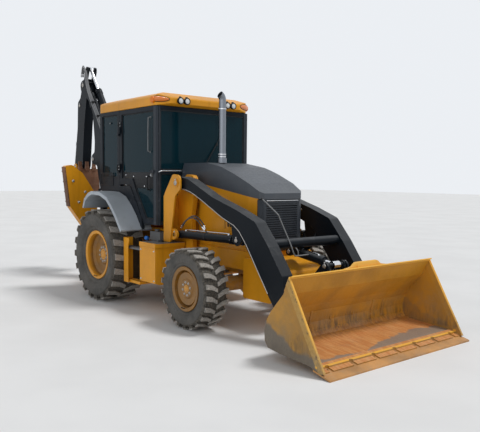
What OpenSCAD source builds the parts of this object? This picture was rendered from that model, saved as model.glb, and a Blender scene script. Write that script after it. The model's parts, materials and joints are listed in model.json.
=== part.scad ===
// Backhoe loader: four-wheel-drive wheeled machine with a front loader and a rear digging arm.
// Millimetres. X points forward, Y to the machine's left, Z up. Outlines are drawn with the rear
// axle at X = 0 and moved by origin_x, so that the origin lies on the ground at mid length.

/* [Wheels] */
// Distance between the front and rear axles
wheelbase = 2140; // [2080:10:2240]
// Rear tyre outside diameter
rear_tyre_d = 1260; // [1220:10:1280]
// Rear tyre width
rear_tyre_w = 480; // [440:10:490]
// Rear rim flange diameter
rear_rim_d = 672; // [640:4:700]
// Distance between the rear tyres' middles
rear_track = 1696; // [1680:4:1740]
// Front tyre outside diameter
front_tyre_d = 920; // [880:10:940]
// Front tyre width
front_tyre_w = 315; // [290:5:320]
// Front rim flange diameter
front_rim_d = 512; // [490:2:530]
// Height of the rear tyre's lugs
rear_lug = 36; // [28:1:40]
// Number of lugs in each row of the rear tyre
rear_lugs = 20; // [18:1:24]
// Height of the front tyre's lugs
front_lug = 30; // [22:1:34]
// Number of lugs in each row of the front tyre
front_lugs = 22; // [18:1:26]
// Distance between the front tyres' middles
front_track = 1790; // [1780:5:1840]
// Distance of each front wheel's kingpin from the middle
kingpin_y = 790; // [780:2:800]

/* [Frame] */
// Half of the frame's outer width
frame_half = 380; // [370:2:390]
// Thickness of the frame's side plates
rail_t = 28; // [20:2:32]
// Height of the frame's top edge in front of the cab
rail_top = 870; // [850:5:890]
// Height of the lowest point between the axles
clearance = 340; // [320:5:360]
// Front end of the frame
frame_front = 2990; // [2960:5:3010]
// Half width of the counterweight
weight_half = 418; // [405:1:425]

/* [Hood] */
// Half width of the hood
hood_half = 362; // [350:2:370]
// Front face of the hood
hood_front = 2640; // [2620:5:2660]
// Height of the hood at the cab
hood_top = 1895; // [1880:5:1910]
// Thickness of the hood's shell
hood_t = 8; // [5:1:12]

/* [Cab] */
// Front face of the cab
cab_front = 1100; // [1090:2:1110]
// Rear face of the cab
cab_rear = -420; // [-440:5:-400]
// Half width of the cab
cab_half = 750; // [740:2:756]
// Height of the cab's lower edge
cab_low = 1095; // [1085:5:1105]
// Height of the cab's roof rail
cab_high = 2612; // [2600:2:2620]
// Thickness of the cab's walls and doors
wall_t = 40; // [34:2:44]
// Thickness of the window glass
glass_t = 8; // [5:1:10]
// Height of the roof's highest point
roof_top = 2792; // [2780:2:2810]
// Place of the door's rear edge, where it is hinged
door_rear = 150; // [140:2:160]

/* [Loader] */
// Inner face of each loader arm
arm_in = 500; // [496:1:504]
// Outer face of each loader arm
arm_out = 650; // [646:1:654]
// Width of the loader bucket
bucket_w = 2180; // [2140:10:2200]
// Thickness of the bucket's plates
bucket_t = 12; // [8:1:16]
// Front edge of the loader bucket
bucket_front = 4400; // [4390:2:4410]
// Radius of the lift cylinders' barrels
lift_r = 48; // [44:1:52]
// Radius of the lift cylinders' rods
lift_rod_r = 25; // [22:1:28]

/* [Backhoe] */
// Place of the swing axis
swing_x = -1300; // [-1304:1:-1296]
// Half width of the digging bucket
hoe_half = 296; // [280:1:298]
// Half width of the boom
boom_half = 92; // [86:1:96]
// Half width of the dipper
dipper_half = 80; // [76:1:84]
// Radius of the digging cylinders' barrels
hoe_r = 50; // [45:1:54]
// Radius of the digging cylinders' rods
hoe_rod_r = 27; // [24:1:30]
// Front face of the stabilizer legs
stab_front = -865; // [-870:1:-860]
// Depth of a stabilizer leg along the machine
stab_d = 120; // [116:1:124]

/* [Fits] */
// Radial clearance of a pin in its bore and a rod in its barrel
fit = 0.3; // [0.3:0.05:0.5]
// Radius of the large pivot pins
pin_r = 32; // [28:1:36]

/* [Hidden] */
origin_x = 712;
window_low = 1700;
stab_rear = stab_front - stab_d;
plate_t = 30;
stab_gap = 8;
rail_rear = stab_front + stab_gap + plate_t;
engine_low = rail_top - 10;
rear_r = rear_tyre_d / 2;
front_r = front_tyre_d / 2;
axle_z = front_r;
seat_share = 0.36;
bead_t = 26;
e = 1;

// Pivots [x, z], with the loader and the digging arm as parked
arm_pivot = [1470, 1640];
lift_base = [1400, 1000];
lift_eye = [2560, 1020];
bucket_pivot = [3430, 250];
tilt_base = [2840, 890];
guide_pivot = [3230, 520];
tilt_lug = [3557, 488];
tilt_eye = [3454, 801];
cross_tube = [3015, 1005];
boom_foot = [-1520, 800];
boom_cyl_top = [-2000, 2000];
boom_cyl_low = [-1680, 580];
dipper_pivot = [-2330, 3280];
crowd_base = [-1500, 2550];
crowd_eye = [-2220, 3550];
dipper_tip = [-2660, 1600];
hoe_base = [-2520, 2950];
hoe_guide_pivot = [-2670, 1880];
hoe_eye = [-2930, 1720];
hoe_lug = [-2519, 1459];
// Pivots [y, z] of the right-hand stabilizer
stab_pivot = [-420, 620];
stab_cyl_top = [-220, 1460];
stab_eye = [-572, 901];

$fn = 48;

yellow = [0.93, 0.6, 0.06];
dark = [0.16, 0.18, 0.21];
rubber = [0.2, 0.2, 0.2];
grey = [0.4, 0.41, 0.42];
steel = [0.75, 0.76, 0.78];
glass = [0.35, 0.5, 0.52, 0.4];

// Direction, turn and length of a line between two points of a plane
function unit(v) = v / norm(v);
function turned(v, a) = [v.x * cos(a) - v.y * sin(a), v.x * sin(a) + v.y * cos(a)];
function heading(a, b) = atan2(b.y - a.y, b.x - a.x);

// Outline with its corners [x, y, radius] rounded by short arcs
function rounded(c, n = 4) = [for (i = [0:len(c) - 1])
  let (
    p = [c[i][0], c[i][1]],
    before = c[(i + len(c) - 1) % len(c)],
    after = c[(i + 1) % len(c)],
    a = unit([before[0], before[1]] - p),
    b = unit([after[0], after[1]] - p),
    half = acos(a * b) / 2,
    room = min(norm([before[0], before[1]] - p), norm([after[0], after[1]] - p)) * 0.48,
    r = min(c[i][2], room * tan(half)),
    m = p + unit(a + b) * r / sin(half),
    s = p + a * r / tan(half) - m,
    f = p + b * r / tan(half) - m,
    way = s.x * f.y - s.y * f.x > 0 ? 1 : -1
  )
  each (r == 0 ? [p] : [for (k = [0:n]) m + turned(s, way * (180 - 2 * half) * k / n)])];

// A side-view outline [x, z] given thickness from y0 to y1
module side(y0, y1) {
  translate([0, y1, 0]) rotate([90, 0, 0]) linear_extrude(y1 - y0) children();
}

// A front-view outline [y, z] given depth from x0 to x1
module front(x0, x1) {
  translate([x0, 0, 0]) rotate([90, 0, 90]) linear_extrude(x1 - x0) children();
}

// A plan-view outline [x, y] given height from z0 to z1
module plan(z0, z1) {
  translate([0, 0, z0]) linear_extrude(z1 - z0) children();
}

module box(x0, x1, y0, y1, z0, z1) {
  translate([x0, y0, z0]) cube([x1 - x0, y1 - y0, z1 - z0]);
}

// A round bar across the machine at p = [x, z]
module bar_y(p, r, y0, y1) {
  translate([p.x, y1, p.y]) rotate([90, 0, 0]) cylinder(r = r, h = y1 - y0);
}

// A round bar along the machine at p = [y, z]
module bar_x(p, r, x0, x1) {
  translate([x0, p.x, p.y]) rotate([0, 90, 0]) cylinder(r = r, h = x1 - x0);
}

module both_sides() {
  children();
  mirror([0, 1, 0]) children();
}

// A straight round tube between two points of space
module tube_between(a, b, r) {
  d = b - a;
  translate(a) rotate([0, acos(d.z / norm(d)), atan2(d.y, d.x)]) cylinder(r = r, h = norm(d), $fn = 24);
}

// A tube that follows points, with a ball at each bend
module tube_path(points, r) {
  for (i = [0:len(points) - 2]) tube_between(points[i], points[i + 1], r);
  if (len(points) > 2) for (i = [1:len(points) - 2]) translate(points[i]) sphere(r = r, $fn = 24);
}

// Cylinder barrel from a pinned eye at a towards b, across the machine from y0 to y1
module barrel(a, b, length, r, bore, y0, y1, pin = pin_r * 0.8) {
  mid = (y0 + y1) / 2;
  translate([a.x, mid, a.y]) rotate([0, -heading(a, b), 0]) difference() {
    union() {
      rotate([90, 0, 0]) cylinder(r = r * 0.95, h = y1 - y0, center = true);
      rotate([0, 90, 0]) cylinder(r = r, h = length);
      translate([length - 50, 0, 0]) rotate([0, 90, 0]) cylinder(r = r + 6, h = 50);
    }
    rotate([90, 0, 0]) cylinder(r = pin + fit, h = max(y1 - y0, 2 * r) + 2, center = true);
    translate([r + 20, 0, 0]) rotate([0, 90, 0]) cylinder(r = bore + fit, h = length);
  }
}

// Cylinder rod with its eye at b, reaching back towards a
module rod(a, b, length, r, eye_r, y0, y1) {
  mid = (y0 + y1) / 2;
  translate([b.x, mid, b.y]) rotate([0, -heading(b, a), 0]) {
    rotate([90, 0, 0]) cylinder(r = eye_r, h = y1 - y0, center = true);
    rotate([0, 90, 0]) cylinder(r = r, h = length);
  }
}

// Body of revolution about a wheel's axle: points are [radius, offset outwards]
module wheel_turn(points) {
  rotate([90, 0, 0]) rotate_extrude($fn = 96) polygon(points);
}

// Frame side plates, counterweight, loader towers and cross members
nose = frame_front - 270;
rail_outline = [[rail_rear, 500, 20], [rail_rear, 1010, 20], [1150, 1010, 40], [1240, rail_top, 40],
  [nose, rail_top, 60], [frame_front, rail_top - 170, 20], [frame_front, clearance, 40],
  [wheelbase + 300, clearance, 20], [wheelbase + 280, 650, 60], [wheelbase - 340, 650, 60],
  [wheelbase - 460, 440, 60], [330, 440, 60]];
module main_frame() {
  color(yellow) {
    both_sides() difference() {
      side(frame_half - rail_t, frame_half) polygon(rounded(rail_outline));
      bar_y([0, rear_r], 120 + fit, frame_half - rail_t - e, frame_half + e);
    }
    side(-weight_half, weight_half) polygon(rounded([[wheelbase + 300, clearance, 30],
      [wheelbase + 300, 800, 20], [nose, 800, 60], [frame_front, 690, 40],
      [frame_front + 20, 560, 40], [frame_front - 60, clearance, 60]]));
    for (x = [1560, 2530]) box(x, x + 24, -frame_half + rail_t, frame_half - rail_t, 700, engine_low);
    for (x = [-300, 620]) box(x, x + 24, -frame_half + rail_t, frame_half - rail_t, 920, 1000);
    both_sides() for (x = [-340, 1000])
      translate([x, frame_half - 60, 1000]) cylinder(r = 46, h = cab_low - 1000);
  }
}

// Two plates on each side that carry the loader arm and its lift cylinder between them
tower_in = 420;
tower_out = 672;
tower_outline = [[1180, rail_top - 60, 0], [1200, 1500, 60], [1390, 1750, 60], [1550, 1735, 70],
  [1570, 1580, 60], [1500, 1240, 60], [1530, 860, 30], [1530, rail_top - 60, 0]];
module loader_towers() {
  color(yellow) both_sides() {
      side(tower_in, arm_in - 14) polygon(rounded(tower_outline));
      side(tower_out, tower_out + 20) polygon(rounded([[1180, 900, 20], [1200, 1500, 60],
        [1390, 1750, 60], [1550, 1735, 70], [1560, 1570, 60], [1440, 1480, 60], [1330, 900, 20]]));
      box(1184, 1204, tower_in, tower_out + 20, 905, 1480);
      side(tower_out - 34, tower_out) polygon(rounded([[1190, 930, 20], [1190, 1060, 20],
        [1400, 1075, 60], [1475, 1000, 60], [1400, 935, 60]]));
      box(1184, 1530, frame_half, arm_in - 14, rail_top - 60, rail_top - 30);
      bar_y(arm_pivot, pin_r, tower_in, tower_out + 34);
      bar_y(arm_pivot, pin_r + 16, tower_out + 20, tower_out + 30);
      bar_y(lift_base, pin_r * 0.8, tower_in, tower_out + 12);
    }
}

// Engine, gearbox and drive shaft as plain masses
engine_rear = 1560;
module powertrain() {
  color(dark) {
    box(engine_rear, wheelbase + 340, -250, 250, engine_low, 1480);
    box(660, engine_rear, -200, 200, 560, 900);
    bar_x([0, 620], 34, engine_rear - 1, wheelbase - 150);
  }
}

module front_axle() {
  color(yellow) {
    difference() {
      union() {
        bar_y([wheelbase, axle_z], 88, -kingpin_y + 110, kingpin_y - 110);
        hull() {
          bar_y([wheelbase, axle_z], 150, -130, 130);
          bar_x([0, axle_z], 90, wheelbase - 210, wheelbase + 60);
        }
        both_sides() box(wheelbase - 60, wheelbase + 60, kingpin_y - 130, kingpin_y - 74,
          axle_z - 110, axle_z + 110);
        both_sides() for (z = [axle_z - 140, axle_z + 104])
          plan(z, z + 36) hull() {
            translate([wheelbase, kingpin_y]) circle(r = 52);
            translate([wheelbase - 60, kingpin_y - 130]) square([120, 30]);
          }
      }
      both_sides() translate([wheelbase, kingpin_y, axle_z - 150]) cylinder(r = 20 + fit, h = 300);
    }
    box(wheelbase - 90, wheelbase + 90, -170, 170, axle_z + 80, 648);
    bar_x([0, axle_z + 120], 70, wheelbase - 150, wheelbase + 150);
    bar_y([wheelbase - 190, axle_z], 34, -330, 330);
    bar_y([wheelbase - 190, axle_z], 17, -540, 540);
    both_sides() box(wheelbase - 200, wheelbase - 80, 130, 170, axle_z - 34, axle_z + 34);
  }
}

module knuckle(s) {
  color(yellow) mirror([0, s < 0 ? 1 : 0, 0]) {
    translate([wheelbase, kingpin_y, 0]) {
      translate([0, 0, axle_z - 146]) cylinder(r = 20, h = 292);
      for (z = [axle_z - 103.5, axle_z + 63.5]) translate([0, 0, z]) cylinder(r = 52, h = 40);
      translate([0, 0, axle_z - 64]) cylinder(r = 56, h = 128);
    }
    bar_y([wheelbase, axle_z], 70, kingpin_y, kingpin_y + 60);
    bar_y([wheelbase, axle_z], 34, kingpin_y + 60, front_track / 2 + 98);
    side(kingpin_y - 10, kingpin_y + 10) polygon([[wheelbase - 40, axle_z - 30],
      [wheelbase - 40, axle_z + 30], [wheelbase - 176, axle_z + 24], [wheelbase - 176, axle_z - 24]]);
  }
}

module rear_axle() {
  color(dark) {
    bar_y([0, rear_r], 120, -rear_track / 2 + 130, rear_track / 2 - 130);
    hull() {
      bar_y([0, rear_r], 225, -120, 120);
      bar_y([0, rear_r], 130, -300, 300);
    }
    both_sides() {
      bar_y([0, rear_r], 165, rear_track / 2 - 180, rear_track / 2 - 130);
      bar_y([0, rear_r], 60, rear_track / 2 - 131, rear_track / 2 + 76);
    }
    box(-140, 140, -frame_half + rail_t, frame_half - rail_t, rear_r + 180, 920);
  }
}

// Rim with its dished disc, hub and flanges, about an axle at [x, z]
module wheel_rim(x, z, mid, rim_d, tyre_w, hub_r, bore, depth, s) {
  f = rim_d / 2;
  w = tyre_w * seat_share;
  color(yellow) translate([x, s * mid, z]) mirror([0, s > 0 ? 1 : 0, 0]) wheel_turn([
    [bore + fit, depth - 20], [bore + fit, depth + 12], [hub_r, depth + 12], [hub_r + 16, depth],
    [f * 0.72, depth + 8], [f - 52, w * 0.6], [f - 42, w + 8], [f - 4, w + 18], [f, w + 14], [f, w],
    [f - bead_t, w], [f - bead_t, -w], [f, -w], [f, -w - 14], [f - 4, -w - 18], [f - 42, -w - 8],
    [f - bead_t - 10, -w * 0.4], [f - bead_t - 10, w * 0.3], [f * 0.72, depth - 8],
    [hub_r + 16, depth - 20]]);
}

// Traction tyre: a smooth carcass with two rows of slanted lugs, the rows half a pitch apart. It
// stands on the edges of two lugs, which are the points furthest from the axle.
lug_reach = 0.38;
lug_shape = [[0.16, 0.03], [-0.66, 0.45], [-1, 0.95], [0.1, 0.95], [0.34, 0.45], [1, 0.03]];
module tyre(x, z, mid, d, rim_d, w, lug, lugs, s) {
  f = rim_d / 2;
  h = w / 2;
  seat = w * seat_share;
  step = 360 / lugs;
  r = d / 2 / cos((0.5 - lug_reach) * step);
  top = r * cos(lug_reach * step);
  half = r * sin(lug_reach * step);
  c = d / 2 - lug;
  color(rubber) translate([x, s * mid, z]) mirror([0, s > 0 ? 0 : 1, 0]) {
    wheel_turn([[f - bead_t + fit, seat], [f + 4, seat], [f + (c - f) * 0.12, h * 0.83],
      [f + (c - f) * 0.2, h * 0.84], [f + (c - f) * 0.3, h * 0.94], [f + (c - f) * 0.55, h],
      [c - (c - f) * 0.18, h * 0.99], [c - (c - f) * 0.05, h * 0.86], [c, h * 0.6], [c, -h * 0.6],
      [c - (c - f) * 0.05, -h * 0.86], [c - (c - f) * 0.18, -h * 0.99], [f + (c - f) * 0.55, -h],
      [f + (c - f) * 0.3, -h * 0.94], [f + (c - f) * 0.2, -h * 0.84], [f + (c - f) * 0.12, -h * 0.83],
      [f + 4, -seat], [f - bead_t + fit, -seat]]);
    for (row = [0, 1], k = [0:lugs - 1]) rotate([0, (k + 0.5 * row) * step, 0])
      translate([0, 0, c - (c - f) * 0.24]) linear_extrude(top - c + (c - f) * 0.24)
        polygon([for (q = lug_shape) [q.x * half, (row == 0 ? 1 : -1) * q.y * h]]);
  }
}

// Hood shell, open below and at the cab, with its plan outline inset by t
hood_rear = cab_front + 6;
hood_low = [1700, 1470];
hood_line = [[hood_rear, hood_top], [1600, hood_top], [1930, hood_top - 55], [2170, hood_top - 135],
  [2440, hood_top - 245], [hood_front, hood_top - 355]];
module hood_plan(t) {
  h = hood_half - t;
  f = hood_front - t;
  polygon([[hood_rear - (t > 0 ? e : 0), -h], [2440, -h + 10], [f - 40, -h + 30], [f, -h + 76], [f, h - 76],
    [f - 40, h - 30], [2440, h - 10], [hood_rear - (t > 0 ? e : 0), h]]);
}
module hood() {
  color(dark) difference() {
    intersection() {
      side(-hood_half - 60, hood_half + 60) polygon(concat(hood_line,
        [[hood_front, hood_low[1]], [hood_rear, hood_low[0]]]));
      front(900, hood_front + 10) polygon(rounded([[-hood_half, 1300, 0], [-hood_half, 1780, 90],
        [-hood_half + 70, 2000, 0], [hood_half - 70, 2000, 0], [hood_half, 1780, 90],
        [hood_half, 1300, 0]]));
      plan(1300, 2000) hood_plan(0);
    }
    intersection() {
      side(-hood_half, hood_half) polygon(concat([for (p = hood_line) p - [p.x == hood_rear ? e : 0, hood_t]],
        [[hood_front, 1400], [hood_rear - e, 1600]]));
      front(900, hood_front + 10) polygon([[-hood_half + hood_t, 1300], [-hood_half + hood_t, 1720],
        [-hood_half + 70, 2000], [hood_half - 70, 2000], [hood_half - hood_t, 1720], [hood_half - hood_t, 1300]]);
      plan(1200, 2000) hood_plan(hood_t);
    }
  }
}

// Side panels under the hood, and the bulkhead beside the cab
panel_front = 2580;
panel_rear = 1270;
function hood_edge(x) = hood_low[0] + (x - hood_rear) * (hood_low[1] - hood_low[0]) / (hood_front - hood_rear);
module side_panels() {
  color(yellow) intersection() {
    side(-hood_half, hood_half) polygon([[panel_rear, rail_top],
      [panel_rear, hood_edge(panel_rear) - 0.2], [panel_front, hood_edge(panel_front) - 0.2],
      [panel_front, rail_top]]);
    difference() {
      plan(rail_top, 1800) hood_plan(0);
      plan(rail_top - e, 1800 + e) hood_plan(20);
    }
  }
}

grille_front = 2630;
grille_low = 930;
slat = 26;
// Slatted grille with chamfered corners in front of the radiator's bulkhead
module grille() {
  high = hood_low[1] - 4;
  color(dark) {
    difference() {
      plan(grille_low, high) polygon([[panel_front, -338], [panel_front + 14, -338],
        [grille_front, -276], [grille_front, 276], [panel_front + 14, 338], [panel_front, 338]]);
      box(panel_front - e, grille_front - 14, -300, 300, grille_low + 30, high - 30);
      for (z = [grille_low + 40:slat:high - 60])
        box(grille_front - 15, grille_front + e, -246, 246, z, z + slat * 0.5);
    }
    box(grille_front - 16, grille_front - 13, -8, 8, grille_low + 30, high - 30);
    box(panel_front - 30, panel_front, -290, 290, rail_top, high);
    box(grille_front - e, grille_front + 6, -262, 262, high - 40, high - 26);
  }
}

module exhaust_stack() {
  color(steel) translate([1620, -100, 0]) {
    translate([0, 0, hood_top]) difference() {
      union() {
        cylinder(r = 58, h = 60);
        cylinder(r = 45, h = 780);
      }
      translate([0, 0, 20]) cylinder(r = 41, h = 780);
    }
    translate([0, 0, hood_top + 780]) rotate([0, 0, 90]) rotate([90, 0, 0]) translate([-80, 0, 0])
      rotate_extrude(angle = 60) translate([80, 0]) difference() {
        circle(r = 45);
        circle(r = 41);
      }
  }
}

// Outline of the rear fenders' top, from back to front
fender_line = [[-400, 1270], [-340, 1400], [-230, 1475], [-120, 1508], [130, 1500], [330, 1440],
  [470, 1330], [600, 1200], [740, 1020]];
fender_in = 590;
fender_out = 1050;

// Cab posts, rails, floor and lower walls
module cab_frame() {
  post = 60;
  inner = cab_half - wall_t;
  color(dark) {
    box(cab_rear, 745, -fender_in, fender_in, cab_low, cab_low + 30);
    box(744, cab_front, -inner + 6, inner - 6, cab_low, cab_low + 30);
    box(cab_rear, cab_rear + 18, -fender_in, fender_in, cab_low, 1300);
    box(cab_rear, cab_rear + 18, -inner - 1, inner + 1, 1272, 1640);
    both_sides() {
      box(cab_rear, 745, fender_in - 30, fender_in, cab_low, 1500);
      side(inner, cab_half) polygon(concat(fender_line, [[735, 1150], [690, 1222], [630, 1318],
        [532, 1450], [440, 1582], [door_rear - 1, 1582], [door_rear - 1, window_low],
        [cab_rear, window_low], [cab_rear, 1270]]));
      box(cab_rear, 440, fender_in - 30, inner + 1, 1552, 1582);
      box(door_rear - post, door_rear, inner - 20, cab_half, 1553, cab_high);
      box(cab_front - 60, cab_front, inner - 24, inner - 6, cab_low + 20, cab_high);
      box(cab_rear, cab_rear + 70, inner - 20, cab_half, 1600, cab_high);
      box(cab_rear, cab_front, inner - 30, inner - 6, cab_high - 50, cab_high);
      box(cab_rear, door_rear, inner - 30, cab_half, cab_high - 50, cab_high);
      for (z = [1800, 2300]) {
        translate([door_rear + 2, cab_half + 12, z - 34]) cylinder(r = 12, h = 34);
        box(door_rear - 40, door_rear + 2, cab_half, cab_half + 20, z - 34, z);
      }
    }
    for (x = [cab_rear, cab_front - 50]) box(x, x + 50, -inner + 20, inner - 20, cab_high - 50, cab_high);
    box(cab_front - 30, cab_front, -inner + 10, inner - 10, 1760, 1800);
    box(cab_front - 30, cab_front, -420, 420, cab_low + 30, 1760);
    box(cab_rear, cab_rear + 30, -inner - 1, inner + 1, 1600, 1660);
  }
}

module cab_roof() {
  color(yellow) difference() {
    intersection() {
      side(-cab_half - 10, cab_half + 10) polygon(rounded([[cab_rear - 30, cab_high, 10],
        [cab_rear - 30, roof_top - 60, 50], [cab_rear + 200, roof_top, 60],
        [cab_front - 100, roof_top, 60], [cab_front + 50, roof_top - 70, 40],
        [cab_front + 50, cab_high + 30, 10], [cab_front - 20, cab_high, 10]]));
      plan(cab_high - 10, roof_top + 10) polygon(rounded([[cab_rear - 30, -cab_half, 60],
        [cab_front - 20, -cab_half, 60], [cab_front + 50, -cab_half + 190, 60],
        [cab_front + 50, cab_half - 190, 60], [cab_front - 20, cab_half, 60],
        [cab_rear - 30, cab_half, 60]]));
      front(cab_rear - 40, cab_front + 60) polygon(rounded([[-cab_half, cab_high, 10],
        [-cab_half, roof_top - 50, 60], [-cab_half + 170, roof_top, 60],
        [cab_half - 170, roof_top, 60], [cab_half, roof_top - 50, 60], [cab_half, cab_high, 10]]));
    }
    box(cab_rear + 60, cab_front - 60, -cab_half + 80, cab_half - 80, cab_high - 20, cab_high + 90);
  }
}

// Fixed windows: windscreen, lower front, rear and rear side panes
module cab_glass() {
  color(glass) {
    box(cab_front - 20, cab_front - 20 + glass_t, -cab_half + 64, cab_half - 64, 1800, cab_high - 50);
    both_sides() {
      box(cab_front - 20, cab_front - 20 + glass_t, 420, cab_half - 64, cab_low + 30, 1760);
      box(cab_rear + 70, door_rear - 60, cab_half - 26, cab_half - 26 + glass_t, window_low, cab_high - 50);
    }
    box(cab_rear + 12, cab_rear + 12 + glass_t, -cab_half + 60, cab_half - 60, 1660, cab_high - 50);
  }
}

module lamp(p, r, d) {
  translate(p) rotate([0, 90, 0]) cylinder(r = r, h = d);
}

module cab_lamps() {
  color(steel) both_sides() {
    lamp([cab_front + 50, 330, roof_top - 112], 38, 36);
    lamp([cab_front + 50, 430, roof_top - 112], 38, 36);
    translate([cab_front - 60, cab_half, roof_top - 110]) rotate([-90, 0, 0]) cylinder(r = 40, h = 26);
  }
  color(steel) for (y = [-500, 500]) translate([cab_rear - 80, y, roof_top - 116]) rotate([0, 90, 0])
    cylinder(r = 48, h = 50);
}

module cab_interior() {
  color(dark) {
    box(60, 520, -240, 240, 1500, 1640);
    box(-20, 100, -230, 230, 1560, 2180);
    box(120, 460, -150, 150, cab_low + 30, 1500);
    box(880, 1060, -150, 150, cab_low + 30, 1700);
    tube_between([930, 0, 1690], [800, 0, 1890], 30);
    for (s = [-1, 1]) box(60, 460, s * 280 - 40, s * 280 + 40, 1560, 1720);
  }
  color(dark) translate([795, 0, 1895]) rotate([0, -33, 0]) {
    rotate_extrude() translate([190, 0]) circle(r = 16);
    for (a = [30, 150, 270]) rotate([0, 0, a]) rotate([0, 90, 0]) cylinder(r = 12, h = 190);
  }
}

// Fenders over the rear wheels
fender_low = [[700, 1000], [560, 1170], [440, 1290], [310, 1395], [120, 1455], [-110, 1462],
  [-215, 1430], [-310, 1365], [-365, 1262]];
module rear_fenders() {
  color(grey) both_sides() side(fender_in, fender_out) polygon(concat(fender_line, fender_low));
}

// Steps and tanks below the doors
tank_rear = 1010;
tank_front = 1380;
tank_out = 940;
module side_tanks() {
  color(yellow) both_sides() {
    front(tank_rear, tank_front) polygon(rounded([[500, 380, 20], [tank_out - 60, 380, 0],
      [tank_out, 400, 0], [tank_out, 880, 0], [500, 880, 0]]));
    front(tank_rear, tank_front + 10) polygon([[tank_out, 838], [tank_out + 8, 842],
      [tank_out + 8, 880], [tank_out, 880]]);
    box(tank_front, tank_front + 10, 500, tank_out, 842, 880);
  }
  color(grey) both_sides() {
    box(tank_rear, tank_front + 10, 500, tank_out + 8, 880, 896);
    for (y = [560:76:900]) box(tank_rear + 40, tank_front - 40, y, y + 12, 896, 900);
  }
  color(dark) both_sides() box(1040, 1080, frame_half, 500, 600, 660);
  color(grey) mirror([0, 1, 0]) {
    box(tank_rear - 110, tank_rear + 130, 560, 720, 900, 1010);
    translate([tank_rear - 60, 640, 1010]) cylinder(r = 34, h = 26);
  }
}

// Step well behind each tank: bent plate with a tread below and a rung above
step_rear = 650;
step_out = 970;
step_low = 340;
step_high = 925;
module steps() {
  color(yellow) both_sides() {
    front(step_rear, step_rear + 26) polygon(rounded([[420, step_low, 0], [step_out, step_low, 30],
      [step_out, step_high, 0], [820, step_high, 40], [800, 830, 40], [420, 800, 0]]));
    side(step_out - 12, step_out) polygon(rounded([[step_rear, step_low, 0],
      [step_rear + 110, step_low, 0], [step_rear + 110, 820, 20], [step_rear + 150, step_high, 30],
      [step_rear, step_high, 60]]));
    difference() {
      box(step_rear + 26, tank_rear, 420, step_out - 30, step_low, step_low + 36);
      for (x = [step_rear + 60:60:tank_rear - 50], y = [600:70:880])
        translate([x, y, step_low - e]) cylinder(r = 14, h = 40);
    }
    box(step_rear + 26, tank_rear, 420, 440, step_low + 36, 800);
  }
  color(grey) both_sides() {
    box(step_rear + 26, tank_rear, 850, 935, 780, 800);
    for (y = [858, 921]) box(step_rear + 26, tank_rear, y - 8, y + 6, 800, 808);
  }
  color(dark) both_sides() for (x = [700, 940]) box(x, x + 40, frame_half, 420, 600, 660);
}

// Rear frame with the swing brackets and the posts that carry the stabilizers
module backhoe_frame() {
  top = stab_cyl_top.y + 60;
  color(yellow) {
    for (x = [stab_front + stab_gap, stab_rear - stab_gap - plate_t]) front(x, x + plate_t)
      polygon(rounded([[-520, 560, 40], [-300, 450, 40], [300, 450, 40], [520, 560, 40],
        [500, 760, 60], [300, 900, 60], [290, top, 60], [-290, top, 60], [-300, 900, 60],
        [-500, 760, 60]]));
    box(stab_rear - 10, stab_front + 10, -130, 130, 450, top - 60);
    both_sides() bar_x([-stab_pivot.x, stab_pivot.y], pin_r, stab_rear - 48, stab_front + 30);
    both_sides() bar_x([-stab_cyl_top.x, stab_cyl_top.y], 22, stab_rear - 20, stab_front + 20);
    for (z = [500, 1020]) plan(z, z + 60) {
      polygon([[stab_rear - 8, -330], [swing_x + 112, -122], [swing_x, -118], [swing_x, 118],
        [swing_x + 112, 122], [stab_rear - 8, 330]]);
      translate([swing_x, 0]) circle(r = 118);
    }
    translate([swing_x, 0, 490]) cylinder(r = 45, h = 600);
  }
}

// Loader arms with their cross members and the tilt cylinder's bracket
arm_outline = [[1470, 1720, 40], [1660, 1690, 90], [2140, 1490, 60], [2590, 1360, 60], [2900, 1250, 90],
  [3120, 1000, 60], [3330, 720, 60], [3378, 560, 60], [3500, 300, 60], [3470, 185, 60], [3370, 195, 50],
  [3150, 460, 60], [2970, 700, 60], [2640, 1120, 90], [2330, 1260, 60], [1800, 1500, 60],
  [1560, 1560, 60], [1400, 1560, 60], [1390, 1680, 60]];
module loader_arms() {
  color(dark) {
    both_sides() difference() {
      union() {
        side(arm_in, arm_out) polygon(rounded(arm_outline));
        for (y = [arm_in + 27, arm_out - 47]) side(y, y + 20) polygon(rounded([[2460, 1250, 0],
          [2500, 1000, 50], [2570, 945, 60], [2640, 1000, 50], [2680, 1150, 0]]));
      }
      bar_y(arm_pivot, pin_r + fit, arm_in - e, arm_out + e);
      bar_y(bucket_pivot, pin_r + fit, arm_in - e, arm_out + e);
    }
  }
}

// Tubes between the arms and the bracket of the tilt cylinder
module arm_cross() {
  color(dark) {
    bar_y(cross_tube, 55, -arm_in, arm_in);
    bar_y(guide_pivot, 40, -arm_in, arm_in);
    bar_y(tilt_base, pin_r * 0.8, -90, 90);
    both_sides() side(60, 85) polygon(rounded([[3070, 1010, 50], [3030, 935, 40], [2860, 840, 45],
      [2785, 855, 45], [2800, 940, 45], [2960, 1060, 50]]));
  }
}

module lift_barrels() {
  color(yellow) both_sides() barrel(lift_base, lift_eye, 1060, lift_r, lift_rod_r, 535, 615);
}

module lift_rods() {
  color(steel) both_sides() rod(lift_base, lift_eye, 1060, lift_rod_r, 44, 553, 597);
}

module tilt_barrel() {
  color(yellow) barrel(tilt_base, tilt_eye, 470, lift_r, lift_rod_r, -56, 56);
}

module tilt_rod() {
  color(steel) rod(tilt_base, tilt_eye, 450, lift_rod_r, 44, -48, 48);
}

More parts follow.
